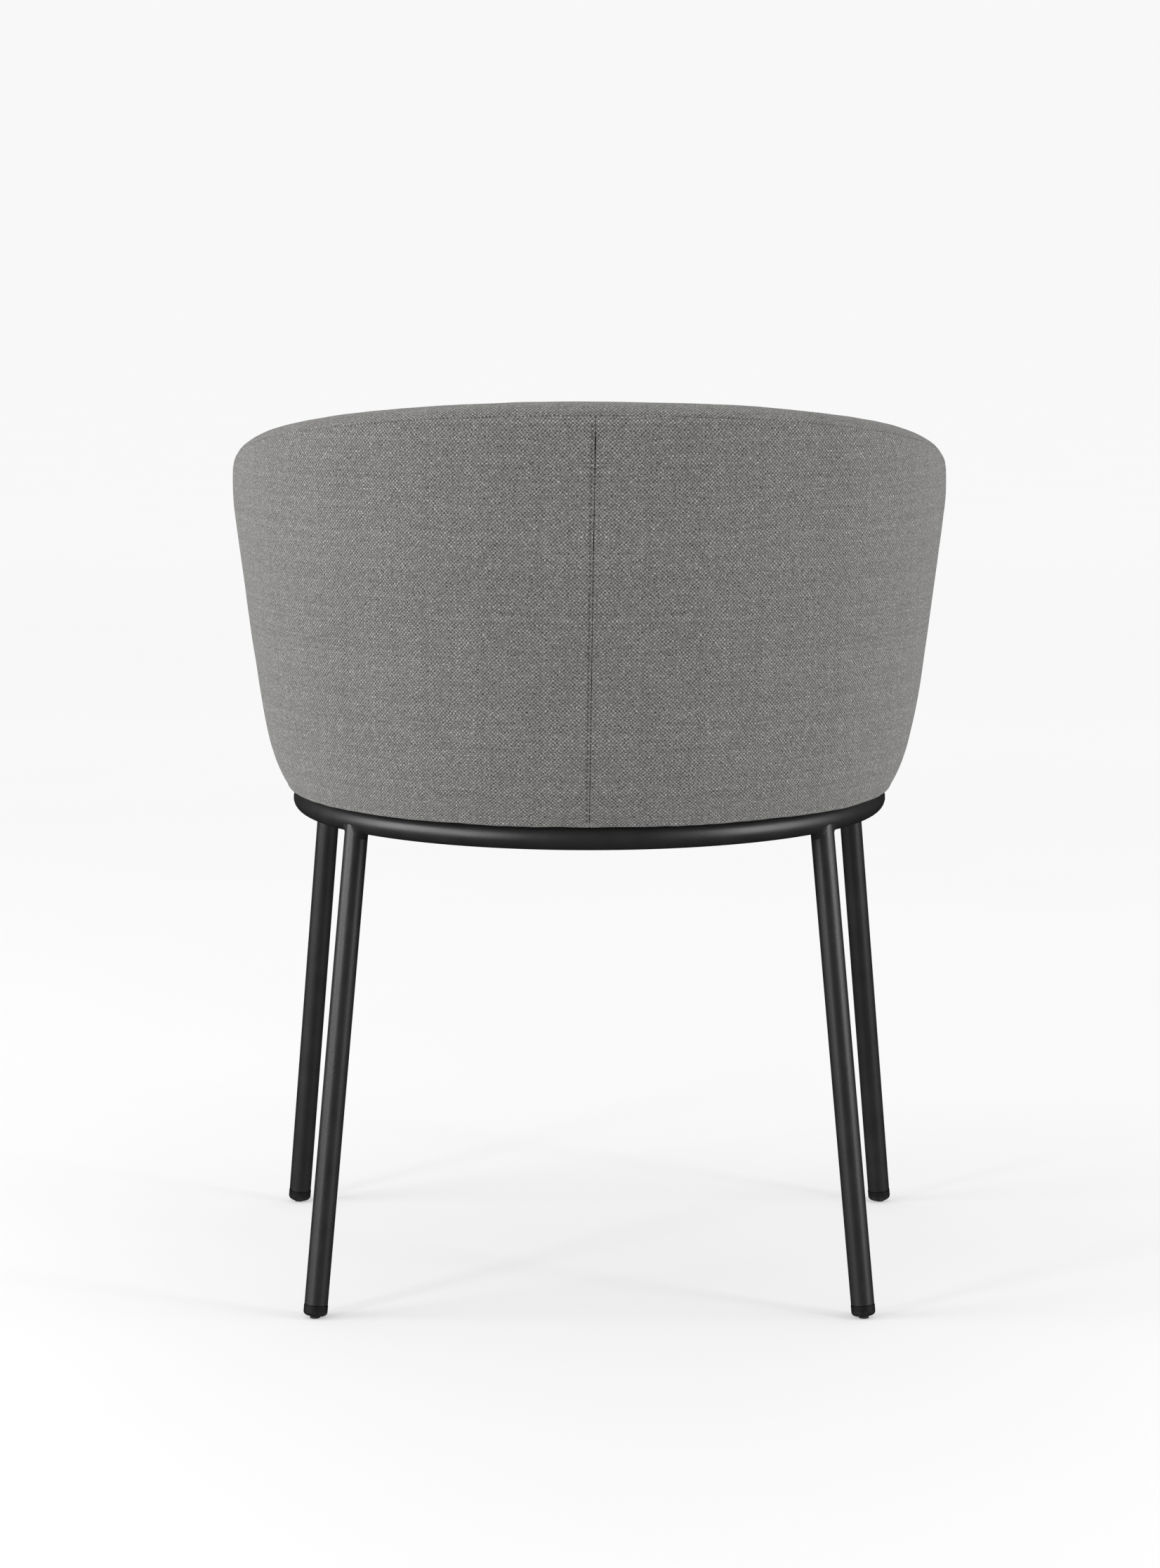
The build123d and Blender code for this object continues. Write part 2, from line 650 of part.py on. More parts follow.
PIPING_HIGH_Z = CUSHION_HIGH - PIPING_R
PIPING_LOW_Z = CUSHION_LOW + PIPING_R


def piping(z):
    """Welt cord round the cushion."""
    with BuildLine(Plane.XY.offset(z)) as path:
        cushion_outline(0.0)
    with BuildPart() as cord:
        with BuildSketch(Plane(origin=(CUSHION_HALF, ARC_Y, z), z_dir=(0, 1, 0))):
            Circle(PIPING_R)
        sweep(path=path.wires()[0])
    return cord


cushion_piping_top = piping(PIPING_HIGH_Z)
cushion_piping_bottom = piping(PIPING_LOW_Z)

with BuildPart() as cushion_boxing:
    with BuildSketch(Plane.XY.offset(PIPING_LOW_Z + PIPING_R + LAYER_GAP)):
        with BuildLine():
            cushion_outline(0.0)
        make_face()
        with BuildLine():
            cushion_outline(COVER)
        make_face(mode=Mode.SUBTRACT)
    extrude(amount=PIPING_HIGH_Z - PIPING_LOW_Z - 2 * (PIPING_R + LAYER_GAP))

with BuildPart() as cushion_top:
    with BuildSketch(Plane.XY.offset(CUSHION_HIGH + LAYER_GAP)):
        with BuildLine():
            cushion_outline(0.0)
        make_face()
    extrude(amount=COVER)

with BuildPart() as cushion_base_cloth:
    with BuildSketch(Plane.XY.offset(CUSHION_LOW - LAYER_GAP - DUST_COVER)):
        with BuildLine():
            cushion_outline(COVER)
        make_face()
    extrude(amount=DUST_COVER)

# ---------------------------------------------------------------- the finished pieces
pieces = {
    "seat_ring": seat_ring,
    "leg_welds": leg_welds,
    "mounting_tabs": mounting_tabs,
    "flat_washers": flat_washers,
    "spring_washers": spring_washers,
    "mounting_bolts": mounting_bolts,
    "t_nuts": t_nuts,
    "seat_board": seat_board,
    "back_shell": back_shell,
    "front_rail": front_rail,
    "shell_screws": shell_screws,
    "rail_screws": rail_screws,
    "dust_cover": dust_cover,
    "staples": staples,
    "outer_foam": outer_foam,
    "inner_foam": inner_foam,
    "front_foam": front_foam,
    "deck_foam": deck_foam,
    "seat_foam": seat_foam,
    "outer_cover_left": outer_cover_left,
    "outer_cover_right": outer_cover_right,
    "inner_cover": inner_cover,
    "front_cover": front_cover,
    "cushion_top": cushion_top,
    "cushion_boxing": cushion_boxing,
    "cushion_piping_top": cushion_piping_top,
    "cushion_piping_bottom": cushion_piping_bottom,
    "cushion_base_cloth": cushion_base_cloth,
}
for corner in LEG_TOPS:
    pieces[f"{corner}_leg"] = legs[corner]
    pieces[f"{corner}_foot"] = feet[corner]

os.makedirs("parts", exist_ok=True)
for name, piece in pieces.items():
    piece.part.label = name
    export_step(piece.part, f"parts/{name}.step")
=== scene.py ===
import math

import bmesh
import bpy
import numpy as np
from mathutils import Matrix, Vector, noise
from mathutils.bvhtree import BVHTree
from mathutils.kdtree import KDTree


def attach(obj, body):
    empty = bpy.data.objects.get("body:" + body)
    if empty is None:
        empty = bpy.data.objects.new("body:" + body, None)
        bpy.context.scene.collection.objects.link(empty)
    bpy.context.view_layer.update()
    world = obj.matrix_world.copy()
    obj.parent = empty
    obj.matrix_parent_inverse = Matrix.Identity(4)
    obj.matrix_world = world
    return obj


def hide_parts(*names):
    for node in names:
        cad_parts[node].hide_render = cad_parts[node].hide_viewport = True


# Looks of the upholstered tub dining chair, in metres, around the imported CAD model. The wall, the
# cushion and the cloth repeat the CAD's formulas: "offset" is outwards from the centreline of the
# seat ring, "along" is the distance round the ring from the middle of the back, negative on -X,
# and "rim" is the height of the top of the wall there.

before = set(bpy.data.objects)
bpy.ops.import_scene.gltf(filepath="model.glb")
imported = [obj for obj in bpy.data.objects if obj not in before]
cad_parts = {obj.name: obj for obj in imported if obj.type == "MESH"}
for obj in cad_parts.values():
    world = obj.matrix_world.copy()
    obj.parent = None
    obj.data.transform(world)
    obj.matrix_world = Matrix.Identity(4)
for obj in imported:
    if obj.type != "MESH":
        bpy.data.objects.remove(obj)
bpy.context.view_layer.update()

# ---------- the CAD's driving dimensions
RING_R, SIDE_RUN, CORNER_R = 0.2375, 0.122, 0.095
WALL = 0.046
HEM_Z = 0.410
REAR_HEIGHT, RIM_SLOPE, RIM_CURVE = 0.741, 0.168, 0.14
RIM_RISE, ARM_RISE = 0.020, 0.018
FRONT_HEIGHT, DROP_START, DROP_END = 0.452, 0.430, 0.540
CREST_R = RING_R + 0.0335
FLARE, FLARE_OFFSET = 0.1258, 0.0264
TUCK, TUCK_Z, TUCK_FADE = 0.0162, 0.407, 0.025
EASING, EASING_DEPTH, EASING_LOW = 2.6, 0.055, 0.425
BACK_ARC = RING_R * math.pi / 2
CORNER_START = BACK_ARC + SIDE_RUN
CORNER_ARC = CORNER_R * math.pi / 2
HALF_RING = CORNER_START + CORNER_ARC + RING_R - CORNER_R
SEAM = 49 / 32 * BACK_ARC
SHELL_OUT, SHELL_IN = 0.0121, 0.0211
BOARD_Z, BOARD_TOP = 0.411, 0.426
FOAM_DROP = 0.003
RAIL_TOP = FRONT_HEIGHT - RIM_RISE - FOAM_DROP
TUBE_R, RING_Z = 0.0095, 0.400
REAR_LEG_ANGLE, FRONT_LEG_ANGLE, LEG_SPLAY = 0.8988, 0.502, 0.0355
CUSHION_HALF, CUSHION_RUN, CUSHION_CORNER = 0.215, 0.100, 0.127
CUSHION_LOW, CUSHION_HIGH, PIPING_R = 0.4542, 0.4867, 0.0022
DUST_COVER_Z, DUST_COVER = 0.4103, 0.0006


def wall_offset(z, rim):
    """Offset of the wall's outer face."""
    above = z - TUCK_Z
    flare = FLARE_OFFSET + FLARE * above - TUCK * math.exp(-above / TUCK_FADE)
    return flare - EASING * max(0.0, z - max(rim - EASING_DEPTH, EASING_LOW)) ** 2


WIDEST_Z = REAR_HEIGHT - EASING_DEPTH + FLARE / (2 * EASING)
REAR_REACH = RING_R + wall_offset(WIDEST_Z, REAR_HEIGHT)
FRONT_REACH = SIDE_RUN + CORNER_R + wall_offset(FRONT_HEIGHT - RIM_RISE, FRONT_HEIGHT)
ARC_Y = (FRONT_REACH - REAR_REACH) / 2


def d_half_length(half, run, corner):
    """Distance along a D from the middle of its back to the middle of its front."""
    return (half + corner) * math.pi / 2 + run + half - corner


def d_station(half, run, corner, along):
    """Point and outward normal of a D: a half circle at the back, straight sides, round corners
    and a straight front. A station past the middle of the front carries on round -X."""
    back, front = half * math.pi / 2, d_half_length(half, run, corner)
    if along > front:
        along -= 2 * front
    side = 1 if along >= 0 else -1
    s = abs(along)
    if s <= back:
        nx, ny = math.sin(s / half), math.cos(s / half)
        x, y = half * nx, half * ny
    elif s <= back + run:
        nx, ny = 1.0, 0.0
        x, y = half, back - s
    elif s <= front - half + corner:
        turn = (s - back - run) / corner
        nx, ny = math.cos(turn), -math.sin(turn)
        x, y = half - corner + corner * nx, -run + corner * ny
    else:
        nx, ny = 0.0, -1.0
        x, y = front - s, -run - corner
    return side * x, y + ARC_Y, side * nx, ny


def ring_station(along):
    """Point and outward normal of the ring's centreline."""
    return d_station(RING_R, SIDE_RUN, CORNER_R, along)


def drop_share(along):
    """How far along its fall an arm is, from 0 to 1."""
    s = min(abs(along), 2 * HALF_RING - abs(along))
    return min(max((s - DROP_START) / (DROP_END - DROP_START), 0.0), 1.0)


def rim_height(along):
    """Height of the top of the wall: a gentle slope, then each arm falls to the front."""
    s = min(abs(along), 2 * HALF_RING - abs(along))
    from_back = CREST_R * (1 - math.cos(s / RING_R)) if s < BACK_ARC else CREST_R + s - BACK_ARC
    slope = REAR_HEIGHT - RIM_SLOPE * from_back - RIM_CURVE * from_back ** 2
    t = drop_share(along)
    fall = t * t * (3 - 2 * t)
    return slope + (FRONT_HEIGHT - slope) * fall


def rim_rise(along):
    """Height of the rounded top of the wall, so that a steep arm is as round as a level rim."""
    t = drop_share(along)
    return RIM_RISE + ARM_RISE * 4 * t * (1 - t)


# ---------- sections of the wall
RIM_SEAM_T = 0.155      # where the inner cover meets the outer one, along the roll of the rim
HEM_ROUND = 0.0028      # radius of the cloth where it turns under
HEM_RETURN_END = -0.0082    # offset where the cloth turned under the board ends
CLOTH = 0.0012
INNER_FOOT = BOARD_TOP + 0.0004     # foot of the layers that stand on the board
LAYER_GAP = 0.0005
DECK_OFFSET, DECK_TOP = -0.0295, 0.4517
TOE = DECK_OFFSET + 0.0005          # offset where the inner cloth's foot ends, beside the deck


def roll_point(t, rim, rise):
    """(offset, z) on the rounded rim, from the outer shoulder (t = 0) to the inner one (t = 1)."""
    shoulder = rim - rise
    middle = wall_offset(shoulder, rim) - WALL / 2
    reach = WALL / 2 * (1 - 6 * t * t + 4 * t ** 3)
    return middle + reach, shoulder + 4 * rise * t * (1 - t)


def face_points(high, low, rim, depth=0.0, steps=60):
    """Points down the wall at a constant depth behind its outer face."""
    heights = [high + (low - high) * i / steps for i in range(steps + 1)]
    return [(wall_offset(z, rim) - depth, z) for z in heights]


def hem_points():
    """The cloth's lower edge: it turns under the shell and runs inwards over the ring."""
    inwards = wall_offset(HEM_Z + HEM_ROUND, 1.0) - HEM_ROUND
    turns = [math.radians(15 * step) for step in range(1, 7)]
    rounded = [(inwards + HEM_ROUND * math.cos(a), HEM_Z + HEM_ROUND * (1 - math.sin(a))) for a in turns]
    return rounded + [(inwards + (HEM_RETURN_END - inwards) * share, HEM_Z)
                      for share in (0.08, 0.2, 0.4, 0.7, 1.0)]


def hem_back(depth):
    """The upper side of that edge, no further out than depth behind the wall's face."""
    limit = wall_offset(HEM_Z + HEM_ROUND, 1.0) - depth
    return [(min(offset, limit), HEM_Z + CLOTH) for offset, _ in hem_points()]


def resample(points, places):
    """Points along a polyline. A place is a distance in metres plus a share of its length."""
    p = np.array(points)
    run = np.concatenate([[0], np.cumsum(np.linalg.norm(np.diff(p, axis=0), axis=1))])
    at = [start + share * run[-1] for start, share in places]
    return list(zip(np.interp(at, run, p[:, 0]), np.interp(at, run, p[:, 1])))


FINE = (0.0, 0.0003, 0.0007, 0.0012, 0.002, 0.0032, 0.005)


def spread(count, fine_start=True, fine_end=True):
    """Places along a path: close together at a sewn end, then even."""
    first = FINE[-1] if fine_start else 0.0
    last = FINE[-1] if fine_end else 0.0
    places = [(d, 0.0) for d in FINE[:-1]] if fine_start else []
    places += [(first - (first + last) * i / count, i / count) for i in range(count + 1)]
    if fine_end:
        places += [(-d, 1.0) for d in FINE[-2::-1]]
    return places


def along_stations(start, end, pitch=0.0045):
    """Stations from start to end, evenly spread along the rim, close together at both ends."""
    fine = np.linspace(start, end, 2001)
    rims = [rim_height(s) for s in fine]
    run = np.concatenate([[0], np.cumsum(np.hypot(np.diff(fine), np.diff(rims)))])
    count = round((run[-1] - 2 * FINE[-1]) / pitch)
    at = [distance + share * run[-1] for distance, share in spread(count)]
    return np.interp(at, run, fine).tolist()


def seam_share(along, first, second):
    """How squarely a section leaves the seam at the rim: 1 on a level rim, less on a steep arm."""
    slope = (rim_height(along + 0.001) - rim_height(along - 0.001)) / 0.002
    fall = (second[1] - first[1]) / math.hypot(second[0] - first[0], second[1] - first[1])
    return math.sqrt(1 - (fall * slope) ** 2 / (1 + slope ** 2))


def tuck(distance, radius):
    """How far a cloth edge rolls in at this distance from its seam."""
    return radius - math.sqrt(radius ** 2 - max(0.0, radius - distance) ** 2)


# ---------- mesh tools
def new_object(name, bm, smooth=True):
    """Object from a bmesh, with its normals made consistent."""
    bmesh.ops.recalc_face_normals(bm, faces=bm.faces)
    mesh = bpy.data.meshes.new(name)
    bm.to_mesh(mesh)
    bm.free()
    for polygon in mesh.polygons:
        polygon.use_smooth = smooth
    made = bpy.data.objects.new(name, mesh)
    bpy.context.scene.collection.objects.link(made)
    return made


def grid_faces(bm, rows, uv_layer, uvs, crest_uvs=None, on_crest=None):
    """Quads over a grid of vertices, with a (u, v) for each vertex, or another on the crest."""
    for i in range(len(rows) - 1):
        for j in range(len(rows[i]) - 1):
            table = crest_uvs if on_crest is not None and on_crest[i, j] else uvs
            corners = ((i, j), (i + 1, j), (i + 1, j + 1), (i, j + 1))
            face = bm.faces.new([rows[a][b] for a, b in corners])
            for loop, (a, b) in zip(face.loops, corners):
                loop[uv_layer].uv = table[a][b]


def cloth_coordinates(along, points, runs, middle):
    """Cloth coordinates of a stretch of the wall in metres. The weave hangs level and upright,
    and on a falling arm the crest has coordinates of its own, that run down it."""
    steps = np.diff(points, axis=0)
    flat = np.zeros(points.shape[:2])
    flat[1:] = np.cumsum(np.linalg.norm(steps[:, :, :2], axis=2), axis=0)
    flat -= flat[round(middle * (len(along) - 1))]
    full = np.linalg.norm(steps, axis=2)
    reach = np.abs(along)
    crest = flat.copy()
    for i in range(1, len(along)):
        if reach[i] > reach[i - 1] >= DROP_START:
            crest[i] = crest[i - 1] + full[i - 1]
    for i in range(len(along) - 2, -1, -1):
        if reach[i] > reach[i + 1] >= DROP_START:
            crest[i] = crest[i + 1] - full[i]
    length_there = runs[np.argmin(np.abs(reach - DROP_START)), -1]
    return (np.stack([flat, runs[:, -1:] - runs], axis=2).tolist(),
            np.stack([crest, length_there - runs], axis=2).tolist())


def join_rings(bm, first, second):
    """Quads between two closed rings of vertices."""
    for k in range(len(first)):
        after = (k + 1) % len(first)
        bm.faces.new([first[k], first[after], second[after], second[k]])


CREST_LEVEL = 0.25      # the crest's faces have more than this for the square of their normal's z
LUMPS = ((0.0006, 0.075, 3.0), (0.00025, 0.022, 5.0))      # (height, size, seed)
CREASES = (0.00035, 0.006, 9.0)
CREASE_REACH, SEWN_FLAT = 0.005, 0.004      # creases die out, and lumps start, this far from a seam
HEM_WAVES, HEM_WAVES_Z = (0.00035, 0.009, 11.0), 0.004
SEAM_SHIFT_REACH = 0.06


def unevenness(point, size, seed):
    """Smooth noise from -1 to 1 whose lumps are about size across."""
    return noise.noise(Vector(point) / size + Vector((seed, 2.3 * seed, 7.1)))


def cloth_lift(point, from_end, from_first):
    """How far the cloth stands off its formula: broad lumps, and creases beside its sewn edges."""
    lumps = sum(height * unevenness(point, size, seed) for height, size, seed in LUMPS)
    near = math.exp(-from_end / CREASE_REACH) + 0.8 * math.exp(-from_first / CREASE_REACH)
    creases = CREASES[0] * unevenness(point, *CREASES[1:]) * near
    return (lumps + creases) * min(1.0, from_end / SEWN_FLAT) * min(1.0, from_first / SEWN_FLAT)


def section_frame(face, back):
    """Distance run along a section's face, and its normals, which point into the pad."""
    p = np.array(face)
    gradient = np.gradient(p, axis=0)
    normals = np.stack([-gradient[:, 1], gradient[:, 0]], axis=1)
    normals /= np.linalg.norm(normals, axis=1)[:, None] + 1e-12
    normals *= np.sign(np.sum(normals * (np.array(back) - p)))
    return np.concatenate([[0], np.cumsum(np.linalg.norm(np.diff(p, axis=0), axis=1))]), normals


def stand_off(station, offset, z):
    """Point at an offset from a station of the ring, at height z."""
    x, y, nx, ny = station
    return Vector((x + offset * nx, y + offset * ny, z))


def wall_pad(name, along, outer, inner, tuck_ends, tuck_first, seam_line=None, middle=0.0,
             crest=False):
    """Closed upholstered pad of the wall. outer and inner give the section's two faces, as equally
    many (offset, z) points. The cloth rolls in by tuck_ends at both ends of the stretch, and by
    tuck_first at the section's first point. seam_line(z) shifts the first station sideways. The
    grain is square at middle, a share of the stretch, and with crest it turns with a falling arm."""
    bm = bmesh.new()
    uv_layer = bm.loops.layers.uv.new("weave")
    outer_rows, inner_rows, runs, crest_faces = [], [], [], []
    for s in along:
        face, back = outer(s), inner(s)
        run, normals = section_frame(face, back)
        square = seam_share(s, face[0], face[1])
        to_start = abs(s - along[0])
        near_end = min(to_start, abs(s - along[-1]))
        column, column_in = [], []
        for j, (offset, z) in enumerate(face):
            shift = seam_line(z) * math.exp(-to_start / SEAM_SHIFT_REACH) if seam_line else 0.0
            station = ring_station(s + shift)
            base = stand_off(station, offset, z)
            sink = tuck(near_end, tuck_ends) + tuck(run[j] * square, tuck_first)
            sink -= square ** 2 * cloth_lift(base, near_end, run[j])
            offset += sink * normals[j][0]
            height = z + sink * normals[j][1]
            if z < HEM_Z + HEM_WAVES_Z:
                height += HEM_WAVES[0] * unevenness(base, *HEM_WAVES[1:])
            column.append(bm.verts.new(stand_off(station, offset, height)))
            column_in.append(bm.verts.new(stand_off(station, *back[j])))
        outer_rows.append(column)
        inner_rows.append(column_in)
        runs.append(run)
        crest_faces.append((normals[:, 1] ** 2 > CREST_LEVEL) & (0 < drop_share(s) < 1) & crest)
    points = np.array([[vertex.co[:] for vertex in row] for row in outer_rows])
    uvs, crest_uvs = cloth_coordinates(along, points, np.array(runs), middle)
    grid_faces(bm, outer_rows, uv_layer, uvs, crest_uvs, np.array(crest_faces))
    grid_faces(bm, inner_rows, uv_layer, uvs)
    for j in (0, -1):
        grid_faces(bm, [outer_rows[j], inner_rows[j]], uv_layer, [uvs[j], uvs[j]])
        edge_uvs = [row[j] for row in uvs]
        grid_faces(bm, [[row[j] for row in outer_rows], [row[j] for row in inner_rows]],
                   uv_layer, [edge_uvs, edge_uvs])
    return new_object(name, bm)


# ---------- sections of the four wall pads
OUTER_ROWS, CREST_ROWS, INSIDE_ROWS = 52, 22, 40
SEAM_TUCK, RIM_TUCK = 0.0010, 0.0010    # radius of the cloth's edges at a seam


def outer_face(along):
    """Outer pad: from the seam under the rim down to the hem and under the board."""
    rim, rise = rim_height(along), rim_rise(along)
    path = [roll_point(RIM_SEAM_T * (1 - i / 8), rim, rise) for i in range(8)]
    path += face_points(rim - rise, HEM_Z + HEM_ROUND, rim)
    return resample(path, spread(OUTER_ROWS, fine_end=False)) + hem_points()


def outer_back(along):
    """Its back: on the shell, then along the upper side of the hem's return."""
    rim, rise = rim_height(along), rim_rise(along)
    depth = SHELL_OUT - LAYER_GAP
    path = face_points(rim - rise - FOAM_DROP, BOARD_Z, rim, depth)
    return resample(path, spread(OUTER_ROWS, fine_end=False)) + hem_back(depth)


def inner_rows(over, down, foot):
    """Rows of the inner pad: over the rim, down the inside, and in over the board at the foot."""
    rows = resample(over, spread(CREST_ROWS, fine_end=False))
    return rows + resample(down, spread(INSIDE_ROWS, False, False))[1:] + [(TOE, foot)]


def inner_face(along):
    """Inner pad: from the seam under the rim, over the top and down the inside to the board."""
    rim, rise = rim_height(along), rim_rise(along)
    crest = [roll_point(RIM_SEAM_T + (1 - RIM_SEAM_T) * i / 40, rim, rise) for i in range(41)]
    down = face_points(rim - rise, INNER_FOOT + CLOTH, rim, WALL)
    return inner_rows(crest, down, INNER_FOOT + CLOTH)


def inner_back(along):
    """Its back: over the top of the shell and down the shell's inner face."""
    rim, rise = rim_height(along), rim_rise(along)
    ledge = rim - rise - LAYER_GAP
    depth = SHELL_IN + LAYER_GAP
    offset, z = roll_point(RIM_SEAM_T, rim, rise)
    over = [(offset - 0.004, z - 0.005), (offset - 0.004, ledge),
            (wall_offset(ledge, rim) - depth, ledge)]
    down = face_points(ledge, INNER_FOOT, rim, depth)
    return inner_rows(over, down, INNER_FOOT)


def front_rows(inside, over, outside):
    """Rows of the front pad: up the inside, over the top and down the outside."""
    rows = [resample(path, spread(count, False, False))
            for path, count in ((inside, 8), (over, 26), (outside, 14))]
    return rows[0] + rows[1][1:] + rows[2][1:]


def front_face(along):
    """Front pad: from the board inside, over the top, down the outside and under."""
    rim, rise = rim_height(along), rim_rise(along)
    inside = face_points(rim - rise, INNER_FOOT + CLOTH, rim, WALL, 20)[::-1]
    crest = [roll_point(1 - i / 40, rim, rise) for i in range(41)]
    outside = face_points(rim - rise, HEM_Z + HEM_ROUND, rim, 0.0, 20)
    return [(TOE, INNER_FOOT + CLOTH)] + front_rows(inside, crest, outside) + hem_points()


def front_back(along):
    """Its back: up the inner face of the rail, over its top, down the outer face and under."""
    rim = rim_height(along)
    top = RAIL_TOP + LAYER_GAP
    inside = face_points(top, INNER_FOOT, rim, SHELL_IN + LAYER_GAP, 10)[::-1]
    outside = face_points(top, BOARD_Z, rim, SHELL_OUT - LAYER_GAP, 10)
    over = [inside[-1], outside[0]]
    return [(TOE, INNER_FOOT)] + front_rows(inside, over, outside) + hem_back(SHELL_OUT)


# The seam down the back leans a little towards -X at its top, and opens just under the rim.
SEAM_LEAN = 0.0037
SEAM_GAP = 0.00005
SEAM_OPEN, SEAM_OPEN_Z, SEAM_OPEN_HALF = 0.0003, 0.711, 0.0095


def seam_lean(z):
    """Sideways shift of the seam at height z."""
    return -SEAM_LEAN * min(max((z - HEM_Z) / 0.31, 0.0), 1.0)


def seam_half_gap(z):
    """Half the width of the gap between the two halves of the back at height z."""
    opening = max(0.0, 1 - ((z - SEAM_OPEN_Z) / SEAM_OPEN_HALF) ** 4)
    parting = max(0.0, unevenness((0.0, 0.0, z), 0.018, 21.0))
    return SEAM_GAP + SEAM_OPEN * opening + 0.00028 * parting


def make_wall_pads():
    """The four closed pads of the tub."""
    half = along_stations(0.0, SEAM)
    mirrored = [-s for s in half]
    right = wall_pad("back_pad_right", half, outer_face, outer_back,
                     SEAM_TUCK, RIM_TUCK, lambda z: seam_lean(z) + seam_half_gap(z))
    left = wall_pad("back_pad_left", mirrored, outer_face, outer_back,
                    SEAM_TUCK, RIM_TUCK, lambda z: seam_lean(z) - seam_half_gap(z))
    inner = wall_pad("inner_pad", mirrored[:0:-1] + half, inner_face, inner_back,
                     SEAM_TUCK, RIM_TUCK, middle=0.5, crest=True)
    front = wall_pad("front_pad", along_stations(SEAM, 2 * HALF_RING - SEAM), front_face, front_back,
                     SEAM_TUCK, 0.0, middle=0.5)
    return left, right, inner, front


# ---------- D-shaped pieces
D_POINTS = 220
SIDE_BULGE = 0.0012     # how far a cushion's sides bulge


def d_outline(half, run, corner):
    """Points of a D outline, evenly spread from the middle of the back, towards +X first."""
    length = 2 * d_half_length(half, run, corner)
    return [d_station(half, run, corner, length * i / D_POINTS)[:2] for i in range(D_POINTS)]


def d_ring(half, run, corner, inset):
    """The outline moved inwards, shrinking towards its middle once the corners are used up."""
    limit = corner - 0.02
    if inset <= limit:
        return d_outline(half - inset, run, corner - inset)
    base = d_outline(half - limit, run, corner - limit)
    share = 1 - (inset - limit) / (half - limit)
    centre = (0.0, ARC_Y - run / 2)
    return [(centre[0] + (x - centre[0]) * share, centre[1] + (y - centre[1]) * share) for x, y in base]


def d_solid(name, half, run, corner, profile):
    """Closed D-shaped form. profile is a line of (inset, z) from the middle of the top, round the
    edge, to the middle of the underside."""
    bm = bmesh.new()
    rings = [[bm.verts.new((x, y, z)) for x, y in d_ring(half, run, corner, inset)]
             for inset, z in profile]
    for first, second in zip(rings, rings[1:]):
        join_rings(bm, first, second)
    bm.faces.new(rings[0])
    bm.faces.new(rings[-1])
    bmesh.ops.poke(bm, faces=bm.faces[-2:])
    return new_object(name, bm)


def soft_profile(half, low, high, crown, edge, steps=16):
    """Profile of a cushion: crowned top, rounded edges and a flat underside."""
    reach = half - 0.004
    across = [i / steps for i in range(steps + 1)]
    turns = [math.radians(18 * i) for i in range(6)]
    side_low, side_high = low + edge, high - edge
    points = [(reach + (edge - reach) * t, high + crown * (1 - t ** 2.2)) for t in across]
    points += [(edge * (1 - math.sin(a)), side_high + edge * math.cos(a)) for a in turns[1:]]
    points += [(-SIDE_BULGE * math.sin(math.pi * t), side_high + (side_low - side_high) * t)
               for t in (0.2, 0.4, 0.6, 0.8)]
    points += [(edge * (1 - math.cos(a)), side_low - edge * math.sin(a)) for a in turns]
    return points + [(edge + (reach - edge) * t, low) for t in across[1:]]


# ---------- the seat cushion
CUSHION_FRAMES = 20
CUSHION_VOXEL = 0.0048
CUSHION_CAP = 0.007
CUSHION_START_INSET = 0.0015
CUSHION_CROWN, CUSHION_EDGE = 0.011, 0.006
CUSHION_PRESS = 0.0012      # how far it sinks into the deck
PINCH, PINCH_WIDTH = 0.0021, 0.0042     # depth and width of the cushion's sewn lines
PUCKERS, PUCKER_REACH = (0.0007, 0.011, 6.0), 0.02
CUSHION_LUMPS, LEVEL_BELOW = (0.0011, 0.085, 8.0), 0.004
PANEL_NORMAL = 0.62         # a cushion's faces are level panels above this z of their normal
CUSHION_CLOTH = dict(quality=6, mass=0.3, tension_stiffness=18, compression_stiffness=18,
                     shear_stiffness=6, bending_stiffness=0.6, use_pressure=True,
                     uniform_pressure_force=4.0)


def mesh_points(mesh):
    """A mesh's points, as an array."""
    points = np.zeros(len(mesh.vertices) * 3)
    mesh.vertices.foreach_get("co", points)
    return points.reshape(-1, 3)


def apply(piece, modifier):
    bpy.context.view_layer.objects.active = piece
    bpy.ops.object.modifier_apply(modifier=modifier.name)


def inflate(pad):
    """Remeshes a pad, blows it up as cloth, and keeps every point within CUSHION_CAP."""
    remesh = pad.modifiers.new("remesh", "REMESH")
    remesh.mode = "VOXEL"
    remesh.voxel_size = CUSHION_VOXEL
    remesh.use_smooth_shade = True
    apply(pad, remesh)
    rest = mesh_points(pad.data)
    cloth = pad.modifiers.new("cloth", "CLOTH")
    settings = cloth.settings
    for setting, value in CUSHION_CLOTH.items():
        setattr(settings, setting, value)
    settings.effector_weights.gravity = 0
    cloth.collision_settings.use_self_collision = False
    cloth.collision_settings.use_collision = False
    for number in range(1, CUSHION_FRAMES + 1):
        bpy.context.scene.frame_set(number)
    swollen = pad.evaluated_get(bpy.context.evaluated_depsgraph_get())
    moved = mesh_points(swollen.data)
    pad.modifiers.remove(cloth)
    bpy.context.scene.frame_set(1)
    step = moved - rest
    length = np.linalg.norm(step, axis=1)[:, None] + 1e-9
    capped = rest + step / length * CUSHION_CAP * np.tanh(length / CUSHION_CAP)
    capped[:, 2] = np.maximum(capped[:, 2], CUSHION_LOW - CUSHION_PRESS)
    pad.data.vertices.foreach_set("co", capped.astype(np.float32).ravel())
    pad.data.update()


